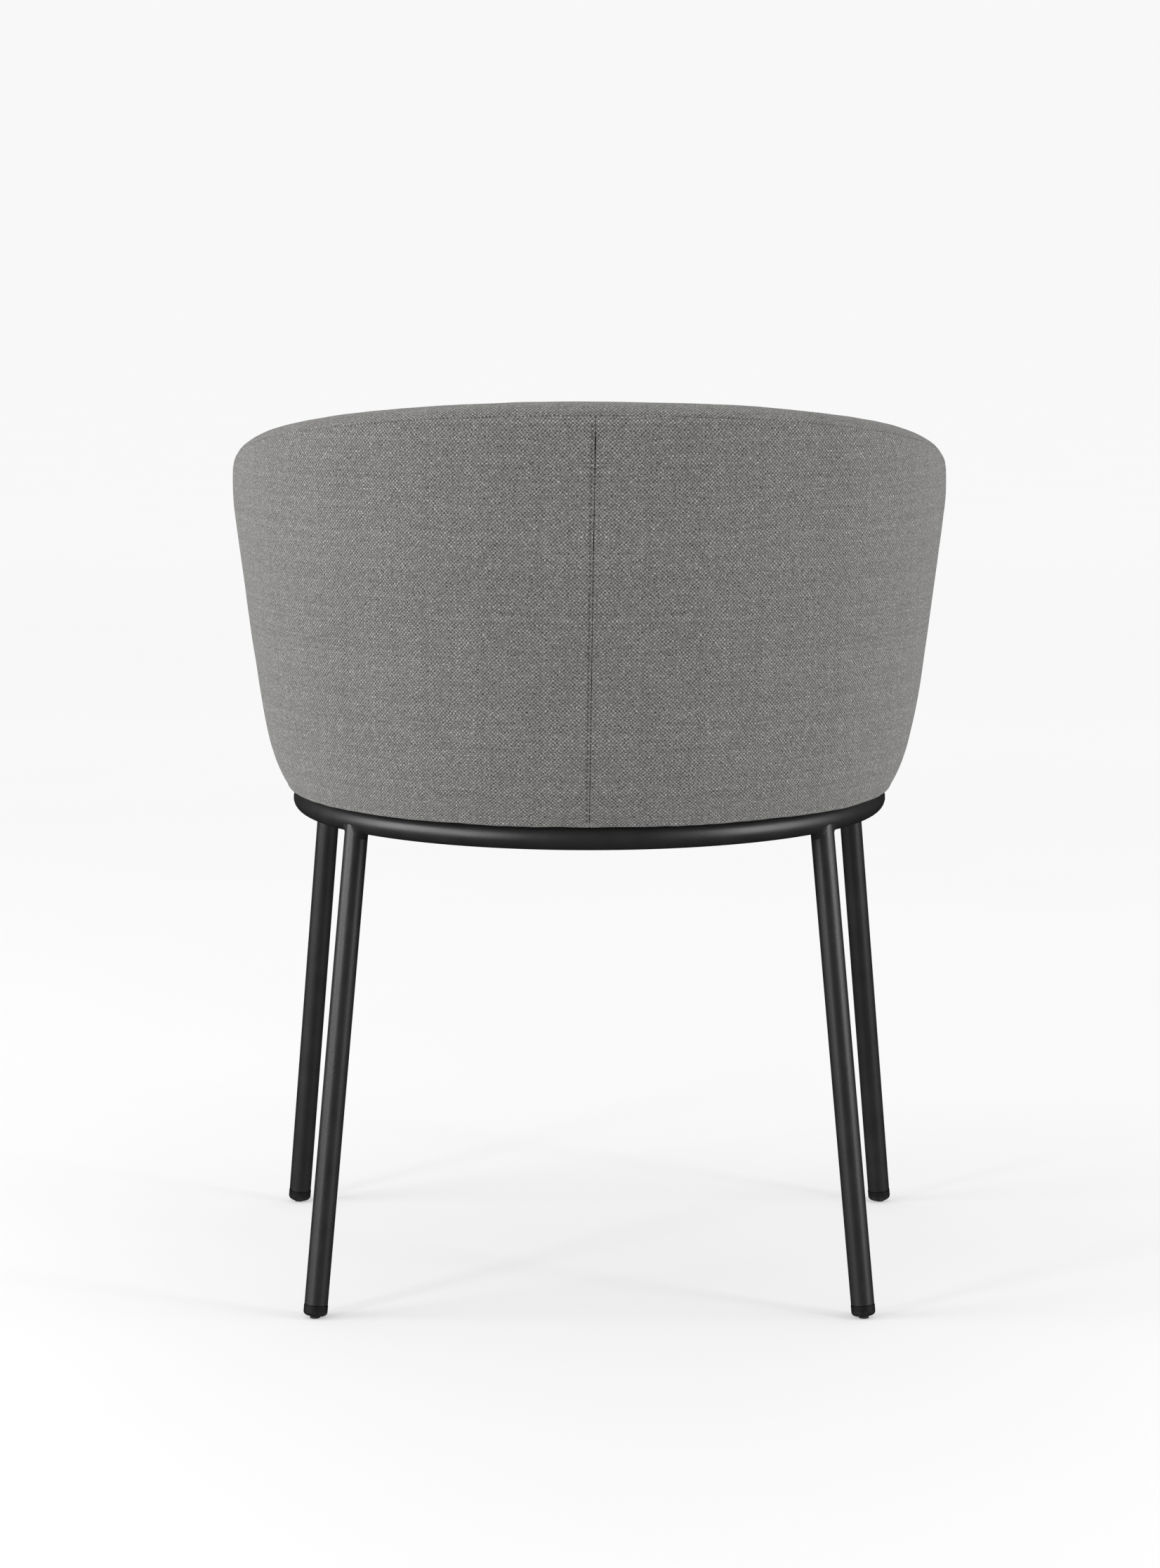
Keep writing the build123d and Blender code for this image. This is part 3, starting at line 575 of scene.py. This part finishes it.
def seam_path(surface, z, upward, reach=0.03):
    """The line where a welt sits: the cushion's surface, met from outside at a slant."""
    tree = BVHTree.FromObject(surface, bpy.context.evaluated_depsgraph_get())
    outline = (CUSHION_HALF, CUSHION_RUN, CUSHION_CORNER)
    length = 2 * d_half_length(*outline)
    found = []
    for k in range(D_POINTS):
        x, y, nx, ny = d_station(*outline, length * k / D_POINTS)
        slant = Vector((nx, ny, upward)).normalized()
        place = Vector((x, y, z))
        hit = tree.ray_cast(place + slant * reach, -slant)[0]
        found.append((hit or place) + slant * PIPING_R * 0.35)
    near = range(-4, 5)
    return [sum((found[(k + step) % D_POINTS] for step in near), Vector()) / len(near)
            for k in range(D_POINTS)]


def cord(name, path, radius, ripple=0.10, sides=14):
    """Closed ring of round cord along a path, with small ripples in its cloth."""
    bm = bmesh.new()
    uv_layer = bm.loops.layers.uv.new("weave")
    girth = 2 * math.pi * radius / sides
    rows, runs, run = [], [], 0.0
    for k, centre in enumerate(path):
        after = path[(k + 1) % len(path)]
        ahead = (after - path[k - 1]).normalized()
        across = ahead.cross(Vector((0, 0, 1))).normalized()
        up = across.cross(ahead)
        ring = []
        for n in range(sides):
            turn = 2 * math.pi * n / sides
            swell = radius * (1 + ripple * unevenness((run, turn * radius, 0.0), 0.0045, 4.0))
            ring.append(bm.verts.new(centre + (across * math.cos(turn) + up * math.sin(turn)) * swell))
        rows.append(ring + ring[:1])
        runs.append(run)
        run += (after - centre).length
    rows.append(rows[0])
    uvs = [[(distance, n * girth) for n in range(sides + 1)] for distance in runs + [run]]
    grid_faces(bm, rows, uv_layer, uvs)
    return new_object(name, bm)


def densify(path, times=4):
    """A closed path with more points, for finer ripples."""
    made = []
    for k, point in enumerate(path):
        after = path[(k + 1) % len(path)]
        made += [point.lerp(after, i / times) for i in range(times)]
    return made


def pinch(pad, lines):
    """Pulls a pad's surface in along sewn lines, and puckers the cloth beside them."""
    points = [point for line in lines for point in line]
    tree = KDTree(len(points))
    for index, point in enumerate(points):
        tree.insert(point, index)
    tree.balance()
    mesh = pad.data
    normals = [v.normal.copy() for v in mesh.vertices]
    for vertex, normal in zip(mesh.vertices, normals):
        distance = tree.find(vertex.co)[2]
        sink = PINCH * math.exp(-(distance / PINCH_WIDTH) ** 2)
        if vertex.co.z > CUSHION_LOW + LEVEL_BELOW:
            sink -= PUCKERS[0] * unevenness(vertex.co, *PUCKERS[1:]) * math.exp(-distance / PUCKER_REACH)
            sink -= CUSHION_LUMPS[0] * unevenness(vertex.co, *CUSHION_LUMPS[1:])
        vertex.co -= normal * sink
    mesh.update()


def panel_uvs(pad):
    """Cloth coordinates: level on the panels, and round the edge on the sides."""
    mesh = pad.data
    layer = mesh.uv_layers.new(name="weave")
    for polygon in mesh.polygons:
        panel = abs(polygon.normal.z) > PANEL_NORMAL
        for index in polygon.loop_indices:
            x, y, z = mesh.vertices[mesh.loops[index].vertex_index].co
            turn = math.atan2(x, y - ARC_Y + 0.03)
            layer.data[index].uv = (x, y) if panel else (turn * CUSHION_HALF, z)


def make_cushion():
    """The boxed cushion and its two welts."""
    inset = CUSHION_START_INSET
    profile = soft_profile(CUSHION_HALF - inset, CUSHION_LOW, CUSHION_HIGH - 0.0005, CUSHION_CROWN,
                           CUSHION_EDGE)
    pad = d_solid("seat_cushion", CUSHION_HALF - inset, CUSHION_RUN, CUSHION_CORNER - inset, profile)
    inflate(pad)
    top = seam_path(pad, CUSHION_HIGH - 2.2 * PIPING_R, 1.0)
    bottom = seam_path(pad, CUSHION_LOW + 2.4 * PIPING_R, -1.0)
    bottom = [Vector((p.x, p.y, max(p.z, CUSHION_LOW + PIPING_R * 0.9))) for p in bottom]
    subdivide = pad.modifiers.new("subdivide", "SUBSURF")
    subdivide.levels = subdivide.render_levels = 1
    apply(pad, subdivide)
    pinch(pad, [densify(top, 2), densify(bottom, 2)])
    panel_uvs(pad)
    welts = [cord(f"cushion_welt_{edge}", densify(path), PIPING_R)
             for edge, path in (("top", top), ("bottom", bottom))]
    return pad, welts


# ---------- under the seat
def make_deck():
    """The padded platform that the cushion lies on."""
    half, corner = RING_R + DECK_OFFSET, CORNER_R + DECK_OFFSET
    profile = soft_profile(half, BOARD_TOP + 0.0006, DECK_TOP - 0.0006, 0.0006, 0.005)
    pad = d_solid("deck_pad", half, SIDE_RUN, corner, profile)
    panel_uvs(pad)
    return pad


DUST_CLEARANCE = 0.001      # inside the board's edge
DUST_SAG, SAG_START, SAG_RUN = 0.0022, 0.012, 0.08
DUST_RIPPLE, RIPPLE_START, RIPPLE_RUN = (0.0016, 0.035, 2.0), 0.010, 0.03


def inside_by(inset, start, run):
    """0 near the edge, growing to 1 further in."""
    return min(1.0, max(0.0, inset - start) / run)


def make_dust_cover():
    """Thin black cloth under the board, pulled flat by its staples, a little slack between."""
    edge = board_edge() - DUST_CLEARANCE
    insets = [0.0, 0.003, 0.006, 0.009, 0.014, 0.02, 0.03] + [0.03 + 0.0105 * i for i in range(1, 19)]
    bm = bmesh.new()
    edges = []
    for lift in (DUST_COVER, 0.0):
        rings = []
        for inset in insets:
            sag = DUST_SAG * inside_by(inset, SAG_START, SAG_RUN)
            ripple = DUST_RIPPLE[0] * inside_by(inset, RIPPLE_START, RIPPLE_RUN)
            ring = []
            for x, y in d_ring(RING_R + edge, SIDE_RUN, CORNER_R + edge, inset):
                wave = ripple * min(0.0, unevenness((x, y, 0), *DUST_RIPPLE[1:]))
                ring.append(bm.verts.new((x, y, DUST_COVER_Z + lift - sag + wave)))
            rings.append(ring)
        for first, second in zip(rings, rings[1:]):
            join_rings(bm, first, second)
        bmesh.ops.poke(bm, faces=[bm.faces.new(rings[-1])])
        edges.append(rings[0])
    join_rings(bm, *edges)
    return new_object("dust_cover_cloth", bm)


def board_edge():
    """Offset of the seat board's lower edge."""
    return wall_offset(BOARD_Z, REAR_HEIGHT) - SHELL_IN - 0.0005


# ---------- welds
FILLET, FILLET_VARIES = 0.0050, 0.0009   # reach of a weld on each tube, and how much it varies
FILLET_STEPS, FILLET_SIDES = 168, 9
RIPPLES, RIPPLE = 26, 0.00010            # ripples round one weld, and their height
WELD_SINK = 0.0010                       # it sinks out of sight where the two tubes are flush


def leg_axes():
    """Foot and direction of each leg's axis, with the centre and radius of the arc it meets."""
    found = []
    rear, front = REAR_LEG_ANGLE * RING_R, CORNER_START + FRONT_LEG_ANGLE * CORNER_R
    for along, fore_aft in ((rear, 1), (front, -1)):
        for side in (-1, 1):
            x, y = ring_station(side * along)[:2]
            foot = Vector((x + side * LEG_SPLAY, y + fore_aft * LEG_SPLAY, 0))
            axis = (Vector((x, y, RING_Z)) - foot).normalized()
            if fore_aft > 0:
                arc = (Vector((0, ARC_Y, RING_Z)), RING_R)
            else:
                arc = (Vector((side * (RING_R - CORNER_R), ARC_Y - SIDE_RUN, RING_Z)), CORNER_R)
            found.append((foot, axis, arc))
    return found


def from_ring(point, arc):
    """Vector to a point from the nearest place on an arc of the ring's centreline."""
    centre, radius = arc
    flat = (point - centre).xy.to_3d().normalized()
    return point - (centre + flat * radius)


def weld_section(foot, axis, arc, around, turn):
    """Closed section of a weld where one line along the leg's surface meets the ring."""
    start = foot + around * TUBE_R
    near, far = (RING_Z - foot.z) / axis.z - 0.020, (RING_Z - foot.z) / axis.z + 0.004
    for _ in range(26):
        middle = (near + far) / 2
        if from_ring(start + axis * middle, arc).length > TUBE_R:
            near = middle
        else:
            far = middle
    crease = start + axis * near
    ring_normal = from_ring(crease, arc).normalized()
    reach = FILLET + FILLET_VARIES * unevenness(crease, 0.006, 13.0)
    away = around + axis
    away = (away - ring_normal * away.dot(ring_normal)).normalized()
    on_leg = crease - axis * reach
    on_ring = crease + away * reach
    on_ring += ring_normal * (TUBE_R - from_ring(on_ring, arc).length)
    out = (around + ring_normal).normalized()
    alike = max(0.0, around.dot(ring_normal))
    pull = crease.lerp((on_leg + on_ring) / 2, 0.26)
    ripple = RIPPLE * math.sin(RIPPLES * turn + 1.4 * unevenness(crease, 0.008, 17.0))
    ripple += 0.00012 * unevenness(crease, 0.0022, 19.0)
    section = []
    for i in range(FILLET_SIDES):
        t = i / (FILLET_SIDES - 1)
        point = on_leg * (1 - t) ** 2 + pull * 2 * t * (1 - t) + on_ring * t ** 2
        bow = 4 * t * (1 - t)
        section.append(point + out * (ripple * bow - 0.0001 * (1 - bow) - WELD_SINK * alike ** 4))
    section.append(crease - out * 2 * WELD_SINK)
    return section


def make_welds():
    """A fillet weld round each joint between a leg and the ring."""
    bm = bmesh.new()
    for foot, axis, arc in leg_axes():
        first = axis.orthogonal().normalized()
        second = axis.cross(first)
        rings = []
        for k in range(FILLET_STEPS):
            turn = 2 * math.pi * k / FILLET_STEPS
            around = first * math.cos(turn) + second * math.sin(turn)
            rings.append([bm.verts.new(p) for p in weld_section(foot, axis, arc, around, turn)])
        for k, ring in enumerate(rings):
            join_rings(bm, ring, rings[(k + 1) % FILLET_STEPS])
    return new_object("weld_fillets", bm)


# ---------- stitching
STITCH, STITCH_PITCH, STITCH_R = 0.0034, 0.0046, 0.00032
STITCH_SIDES = 8
TOPSTITCH = 0.0021      # distance of the row of stitches from the seam
STITCHES_ABOVE_HEM, STITCHES_BELOW_RIM = 0.006, 0.013


def add_stitch(bm, centre, ahead, out):
    """A short thread that dips into the cloth at both ends."""
    across = ahead.cross(out).normalized()
    rings = []
    for i in range(7):
        share = i / 3 - 1
        middle = centre + ahead * (share * STITCH / 2) + out * STITCH_R * (0.6 - 1.2 * share * share)
        radius = STITCH_R * math.sqrt(max(0.05, 1 - share ** 4))
        turns = [2 * math.pi * n / STITCH_SIDES for n in range(STITCH_SIDES)]
        rings.append([bm.verts.new(middle + (across * math.cos(a) + out * math.sin(a)) * radius)
                      for a in turns])
    for first, second in zip(rings, rings[1:]):
        join_rings(bm, first, second)
    bm.faces.new(rings[0])
    bm.faces.new(rings[-1])


def stitch_place(z):
    """Point on the wall's outer face on the line of the stitches, and the level way out there."""
    station = ring_station(seam_lean(z) + TOPSTITCH)
    return stand_off(station, wall_offset(z, REAR_HEIGHT), z), Vector((*station[2:], 0))


def make_stitches():
    """The row of topstitching beside the seam down the back."""
    bm = bmesh.new()
    z = HEM_Z + STITCHES_ABOVE_HEM
    while z < REAR_HEIGHT - STITCHES_BELOW_RIM:
        here, out = stitch_place(z)
        ahead = (stitch_place(z + 0.001)[0] - here).normalized()
        out = (out - ahead * out.dot(ahead)).normalized()
        add_stitch(bm, here + out * cloth_lift(here, TOPSTITCH, 1.0), ahead, out)
        z += STITCH_PITCH
    return new_object("back_topstitch", bm)


# ---------- materials
class Nodes:
    """Short names for the nodes of one material."""

    def __init__(self, name):
        self.material = bpy.data.materials.new(name)
        self.material.use_nodes = True
        self.tree = self.material.node_tree
        self.shader = self.tree.nodes["Principled BSDF"]
        self.here = self.tree.nodes.new("ShaderNodeTexCoord").outputs["Object"]     # metres

    def add(self, kind, **inputs):
        """A node, with values or links for its inputs by name."""
        node = self.tree.nodes.new(kind)
        for key, value in inputs.items():
            self.put(node.inputs[key.replace("_", " ")], value)
        return node

    def put(self, socket, value):
        if isinstance(value, bpy.types.NodeSocket):
            self.tree.links.new(value, socket)
        else:
            socket.default_value = value

    def fill(self, node, *values):
        """Values or links for a node's inputs, in their order."""
        for socket, value in zip(node.inputs, values):
            self.put(socket, value)
        return node

    def math(self, operation, *values):
        node = self.tree.nodes.new("ShaderNodeMath")
        node.operation = operation
        return self.fill(node, *values).outputs[0]

    def scaled(self, value, factor, plus):
        return self.math("MULTIPLY_ADD", value, factor, plus)

    def noise(self, vector, scale, detail=3.0, roughness=0.5, distortion=0.0):
        node = self.add("ShaderNodeTexNoise", Vector=vector, Scale=scale, Detail=detail,
                        Roughness=roughness, Distortion=distortion)
        return node.outputs["Fac"]

    def ramp(self, factor, *stops):
        """Colour ramp with (place, grey or colour) stops."""
        node = self.tree.nodes.new("ShaderNodeValToRGB")
        self.put(node.inputs[0], factor)
        while len(node.color_ramp.elements) < len(stops):
            node.color_ramp.elements.new(1.0)
        for element, (place, colour) in zip(node.color_ramp.elements, stops):
            element.position = place
            element.color = (*(colour if isinstance(colour, tuple) else (colour,) * 3), 1.0)
        return node.outputs["Color"]

    def white(self, x, y):
        """A random number for each whole (x, y)."""
        cell = self.add("ShaderNodeCombineXYZ", X=x, Y=y)
        return self.add("ShaderNodeTexWhiteNoise", Vector=cell.outputs[0]).outputs["Value"]

    def wander(self, vector, place, scale, reach):
        """The vector, shifted by smooth noise."""
        drift = self.add("ShaderNodeTexNoise", Vector=place, Scale=scale, Detail=2.0)
        shifted = self.tree.nodes.new("ShaderNodeVectorMath")
        shifted.operation = "MULTIPLY_ADD"
        return self.fill(shifted, drift.outputs["Color"], (reach, reach, 0.0), vector).outputs[0]

    def stretch(self, vector, x, y, z):
        node = self.add("ShaderNodeMapping", Vector=vector)
        node.inputs["Scale"].default_value = (x, y, z)
        return node.outputs[0]

    def bump(self, height, distance):
        return self.add("ShaderNodeBump", Height=height, Distance=distance).outputs[0]

    def set(self, **inputs):
        for key, value in inputs.items():
            self.put(self.shader.inputs[key.replace("_", " ")], value)
        return self.material


YARN = 0.0015


def warm(grey):
    """A warm grey."""
    return grey * 1.015, grey, grey * 0.972


def woven(name, yarn=YARN, dark=0.032, mid=0.112, light=0.36, relief=0.00045):
    """Coarse plain weave in mixed warm grey yarns: painted highlight where a yarn crosses over,
    painted shade in the gaps between, uneven yarns and a few slubs."""
    n = Nodes(name)
    uv = n.add("ShaderNodeUVMap")
    uv.uv_map = "weave"
    cloth = n.stretch(uv.outputs[0], 1 / yarn, 1 / yarn, 1)
    moved = cloth
    for scale, reach in ((0.16, 1.7), (0.75, 1.3), (1.7, 0.8)):
        moved = n.wander(moved, cloth, scale, reach)
    parts = n.add("ShaderNodeSeparateXYZ", Vector=moved)
    u, v = parts.outputs["X"], parts.outputs["Y"]
    over = n.math("MULTIPLY", n.math("SINE", n.math("MULTIPLY", u, math.pi)),
                  n.math("SINE", n.math("MULTIPLY", v, math.pi)))
    crown = n.math("ABSOLUTE", over)
    column, row = n.math("FLOOR", u), n.math("FLOOR", v)
    lines = n.math("SINE", n.math("MULTIPLY", v, 2 * math.pi / 1.17))
    fibres = n.noise(moved, 2.6, 3.0, 0.6)
    slubs = n.noise(n.stretch(moved, 0.05, 0.55, 1), 1.0, 2.0)
    # each crossing, warp yarn and weft yarn has its own shade, which fades out between yarns
    shade = n.math("ADD", n.math("MULTIPLY", n.white(column, row), 0.46),
                   n.math("ADD", n.math("MULTIPLY", n.white(column, 0.0), 0.10),
                          n.math("MULTIPLY", n.white(0.0, row), 0.16)))
    # painted highlight on the yarns that cross over and painted shade in the gaps between them
    level = n.scaled(over, 0.40, 0.47)
    level = n.scaled(n.math("SUBTRACT", shade, 0.36), crown, level)
    level = n.scaled(lines, 0.05, level)
    level = n.scaled(n.math("SUBTRACT", fibres, 0.5), 0.50, level)
    level = n.scaled(n.math("SUBTRACT", slubs, 0.5), 0.12, level)
    colour = n.ramp(level, (0.05, warm(dark)), (0.42, warm(mid)), (0.70, warm(mid * 1.9)),
                    (1.0, warm(light)))
    blotch = n.scaled(n.noise(n.here, 9.0, 2.0), 0.16, 0.92)
    tinted = n.tree.nodes.new("ShaderNodeMix")
    tinted.data_type = "RGBA"
    tinted.blend_type = "MULTIPLY"
    tinted.inputs["Factor"].default_value = 1.0
    n.put(tinted.inputs["A"], colour)
    n.put(tinted.inputs["B"], n.ramp(blotch, (0.0, 0.0), (1.0, 1.0)))
    height = n.scaled(crown, 0.75, n.math("MULTIPLY", fibres, 0.35))
    height = n.scaled(over, 0.25, height)
    return n.set(Base_Color=tinted.outputs["Result"], Normal=n.bump(height, relief),
                 Roughness=n.scaled(fibres, 0.15, 0.80), Specular_IOR_Level=0.22,
                 Sheen_Weight=0.22, Sheen_Roughness=0.45, Sheen_Tint=(1.0, 0.985, 0.95, 1.0))


def thread():
    """Grey polyester sewing thread with its twist, painted shade in the twist's grooves and a painted
    highlight on its ridges.
    """
    n = Nodes("thread")
    twist = n.add("ShaderNodeTexWave", Vector=n.here, Scale=900.0, Distortion=2.0)
    # painted shade in the grooves of the twist and painted highlight on its ridges
    colour = n.ramp(twist.outputs["Fac"], (0.0, (0.028, 0.027, 0.026)), (1.0, (0.080, 0.078, 0.075)))
    return n.set(Base_Color=colour, Roughness=n.scaled(twist.outputs["Fac"], 0.2, 0.5),
                 Normal=n.bump(twist.outputs["Fac"], 0.0001), Specular_IOR_Level=0.3)


def powder_coat():
    """Satin black powder coat: fine orange peel and a few rubbed places."""
    n = Nodes("powder_coat")
    peel = n.noise(n.here, 620.0, 3.0, 0.6)
    broad = n.noise(n.here, 45.0, 3.0)
    colour = n.ramp(broad, (0.3, (0.0115, 0.0115, 0.0117)), (0.7, (0.0150, 0.0150, 0.0152)))
    rough = n.scaled(peel, 0.10, n.scaled(broad, 0.10, 0.33))
    return n.set(Base_Color=colour, Roughness=rough, Normal=n.bump(peel, 0.00011),
                 Specular_IOR_Level=0.85)


def moulded_plastic():
    """Black moulded plastic with a fine grain, greyed by dust and scuffs where it stands."""
    n = Nodes("foot_plastic")
    grain = n.noise(n.here, 1500.0, 3.0, 0.6)
    height = n.add("ShaderNodeSeparateXYZ", Vector=n.here).outputs["Z"]
    low = n.ramp(n.math("MULTIPLY", height, 100.0), (0.10, 1.0), (0.85, 0.0))
    marks = n.noise(n.stretch(n.here, 1, 1, 0.5), 380.0, 5.0, 0.75, 0.4)
    scuff = n.math("MULTIPLY", marks, n.scaled(low, 0.65, 0.35))
    colour = n.ramp(scuff, (0.24, (0.0075, 0.0075, 0.0078)), (0.40, (0.016, 0.0158, 0.0155)),
                    (0.66, (0.062, 0.060, 0.057)))
    return n.set(Base_Color=colour, Roughness=n.scaled(grain, 0.18, 0.46),
                 Normal=n.bump(grain, 0.00008), Specular_IOR_Level=0.30)


def zinc():
    """Bright zinc plate with a faint bluish bloom and fine scratches."""
    n = Nodes("zinc")
    bloom = n.noise(n.here, 160.0, 3.0)
    scratch = n.noise(n.stretch(n.here, 1, 6, 1), 900.0, 3.0, 0.7)
    colour = n.ramp(bloom, (0.3, (0.48, 0.49, 0.50)), (0.7, (0.66, 0.66, 0.64)))
    return n.set(Base_Color=colour, Metallic=1.0, Roughness=n.scaled(scratch, 0.28, 0.22),
                 Normal=n.bump(scratch, 0.00003))


def plywood():
    """Birch plywood: streaked face veneer, and the plies' lines on every edge."""
    n = Nodes("plywood")
    grain = n.noise(n.stretch(n.here, 14, 140, 14), 1.0, 5.0, 0.6, 0.8)
    plies = n.add("ShaderNodeTexWave", Vector=n.stretch(n.here, 0, 0, 1), Scale=105.0, Distortion=0.3)
    mixed = n.scaled(plies.outputs["Fac"], 0.25, n.math("MULTIPLY", grain, 0.75))
    colour = n.ramp(mixed, (0.25, (0.36, 0.23, 0.12)), (0.55, (0.58, 0.41, 0.24)),
                    (0.8, (0.68, 0.52, 0.33)))
    return n.set(Base_Color=colour, Roughness=n.scaled(grain, 0.2, 0.5),
                 Normal=n.bump(grain, 0.0002))


def spun_bonded():
    """Black spun-bonded cloth: matted fibres with a grid of small welded dots."""
    n = Nodes("base_cloth")
    dots = n.add("ShaderNodeTexVoronoi", Vector=n.stretch(n.here, 1, 1, 0), Scale=620.0, Randomness=0.15)
    dimple = n.ramp(dots.outputs["Distance"], (0.15, 0.0), (0.38, 1.0))
    fibre = n.noise(n.stretch(n.here, 1, 0.25, 1), 1400.0, 4.0, 0.7)
    colour = n.ramp(fibre, (0.3, (0.010, 0.010, 0.011)), (0.7, (0.032, 0.032, 0.034)))
    height = n.scaled(dimple, 0.6, n.math("MULTIPLY", fibre, 0.4))
    return n.set(Base_Color=colour, Roughness=n.scaled(fibre, 0.2, 0.7),
                 Normal=n.bump(height, 0.00015), Specular_IOR_Level=0.25)


def floor_paint():
    """Plain pale floor: mostly its own even tone, with soft shadows, and clear from below."""
    n = Nodes("studio_floor")
    tone = n.ramp(n.noise(n.here, 3.0, 2.0), (0.3, FLOOR_ALBEDO * 0.995), (0.7, FLOOR_ALBEDO * 1.005))
    apart = n.tree.nodes.new("ShaderNodeVectorMath")
    apart.operation = "DISTANCE"
    n.fill(apart, n.here, (0.0, FLOOR_BRIGHT_Y, 0.0))
    reach = n.math("DIVIDE", apart.outputs["Value"], FLOOR_GLOW[-1][0])
    glow = n.ramp(reach, *((place / FLOOR_GLOW[-1][0], level) for place, level in FLOOR_GLOW))
    n.set(Base_Color=tone, Roughness=1.0, Specular_IOR_Level=0.0,
          Emission_Color=(1.0, 1.0, 1.0, 1.0), Emission_Strength=glow)
    clear = n.tree.nodes.new("ShaderNodeBsdfTransparent")
    side = n.tree.nodes.new("ShaderNodeNewGeometry")
    mix = n.tree.nodes.new("ShaderNodeMixShader")
    n.fill(mix, side.outputs["Backfacing"], n.shader.outputs[0], clear.outputs[0])
    n.put(n.tree.nodes["Material Output"].inputs["Surface"], mix.outputs[0])
    return n.material


def dress(thing, material):
    """Gives an object one material."""
    thing.data.materials.clear()
    thing.data.materials.append(material)
    return thing


# ---------- the studio
BACKDROP = 0.939
FLOOR_ALBEDO, FLOOR_BRIGHT_Y = 0.45, 0.6
FLOOR_GLOW = ((0.0, 0.320), (1.2, 0.383), (2.3, 0.441), (4.0, 0.492), (8.0, 0.517))   # (distance, glow)
# (name, place, the height it is aimed at, size, watts): a soft box and a strip on each side
LAMPS = (
    ("key_light", (2.3, 0.5, 1.2), 0.5, (1.2, 1.8), 38.0),
    ("fill_light", (-2.3, 0.5, 1.2), 0.5, (1.2, 1.8), 19.5),
    ("right_strip", (1.75, 1.75, 0.9), 0.3, (0.30, 1.7), 19.0),
    ("left_strip", (-2.1, 1.15, 0.9), 0.3, (0.30, 1.7), 16.5),
)
CAMERA_PLACE = Vector((0.0, 3.363, 0.893))
CAMERA_DOWN = math.radians(8.2)
CAMERA_LENS = 93.2
CAMERA_SHIFT = -0.0060


def make_floor():
    """Wide round floor at z = 0."""
    bm = bmesh.new()
    bmesh.ops.create_circle(bm, cap_ends=True, segments=96, radius=60.0)
    floor = new_object("studio_floor", bm, smooth=False)
    if floor.data.polygons[0].normal.z < 0:
        floor.data.flip_normals()
    floor.visible_glossy = False
    return dress(floor, floor_paint())


def make_camera():
    """Straight behind the chair, a little above, looking slightly down."""
    data = bpy.data.cameras.new("camera")
    data.lens = CAMERA_LENS
    data.sensor_width = 36.0
    data.shift_x = CAMERA_SHIFT
    data.clip_end = 200.0
    camera = bpy.data.objects.new("camera", data)
    camera.location = CAMERA_PLACE + Vector((0.0, ARC_Y, 0.0))
    camera.rotation_euler = (math.pi / 2 - CAMERA_DOWN, 0.0, math.pi)
    bpy.context.scene.collection.objects.link(camera)
    bpy.context.scene.camera = camera


def soft_box(name, place, height, size, power):
    """Large area light, aimed at a height over the middle of the floor."""
    data = bpy.data.lights.new(name, "AREA")
    data.shape = "RECTANGLE"
    data.size, data.size_y = size
    data.energy = power
    light = bpy.data.objects.new(name, data)
    light.location = place
    light.rotation_euler = (Vector((0, 0, height)) - Vector(place)).to_track_quat("-Z", "Y").to_euler()
    bpy.context.scene.collection.objects.link(light)


def make_studio():
    """Even pale surroundings and the lamps."""
    world = bpy.data.worlds.new("studio")
    world.use_nodes = True
    background = world.node_tree.nodes["Background"]
    background.inputs["Color"].default_value = (BACKDROP, BACKDROP, BACKDROP, 1.0)
    background.inputs["Strength"].default_value = 1.0
    world.cycles_visibility.glossy = False      # so that gloss shows the lamps, not the pale room
    bpy.context.scene.world = world
    for lamp in LAMPS:
        soft_box(*lamp)
    settings = bpy.context.scene.view_settings
    settings.view_transform = "Standard"
    settings.look = "None"


# ---------- assembly
FABRIC = woven("fabric")
PIPING_CLOTH = woven("piping", YARN * 0.95)
POWDER = powder_coat()
PLASTIC, ZINC, PLYWOOD, BASE_CLOTH, THREAD = moulded_plastic(), zinc(), plywood(), spun_bonded(), thread()

CORNERS = ("rear_left", "rear_right", "front_left", "front_right")
CAD_FINISHES = {
    POWDER: ["seat_ring", "mounting_tabs"] + [f"{corner}_leg" for corner in CORNERS],
    PLASTIC: [f"{corner}_foot" for corner in CORNERS],
    ZINC: ["flat_washers", "spring_washers", "mounting_bolts", "t_nuts", "shell_screws", "rail_screws",
           "staples"],
    PLYWOOD: ["seat_board", "back_shell", "front_rail"],
}
for finish, names in CAD_FINISHES.items():
    for node_name in names:
        dress(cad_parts[node_name], finish)


def settle(piece, material, slot, *stands_for):
    """The piece's finish, its body, and the CAD nodes that it stands for."""
    dress(piece, material)
    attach(piece, "root")
    if stands_for:
        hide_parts(*stands_for)
    return piece


left_pad, right_pad, inner_pad, front_pad = make_wall_pads()
settle(left_pad, FABRIC, "fabric", "outer_cover_left", "outer_foam")
settle(right_pad, FABRIC, "fabric", "outer_cover_right", "outer_foam")
settle(inner_pad, FABRIC, "fabric", "inner_cover", "inner_foam")
settle(front_pad, FABRIC, "fabric", "front_cover", "front_foam")
settle(make_stitches(), THREAD, "fabric")
settle(make_welds(), POWDER, "powder_coat", "leg_welds")

cushion, (welt_top, welt_bottom) = make_cushion()
settle(cushion, FABRIC, "fabric", "seat_foam", "cushion_top", "cushion_boxing",
                 "cushion_base_cloth")
settle(welt_top, PIPING_CLOTH, "piping", "cushion_piping_top")
settle(welt_bottom, PIPING_CLOTH, "piping", "cushion_piping_bottom")
cushion.data.materials.append(BASE_CLOTH)
for polygon in cushion.data.polygons:
    if polygon.normal.z < -0.7 and polygon.center.z < CUSHION_LOW + 0.003:
        polygon.material_index = 1

settle(make_deck(), FABRIC, "fabric", "deck_foam")
dust_cover = settle(make_dust_cover(), BASE_CLOTH, "base_cloth", "dust_cover")

make_floor()
make_camera()
make_studio()
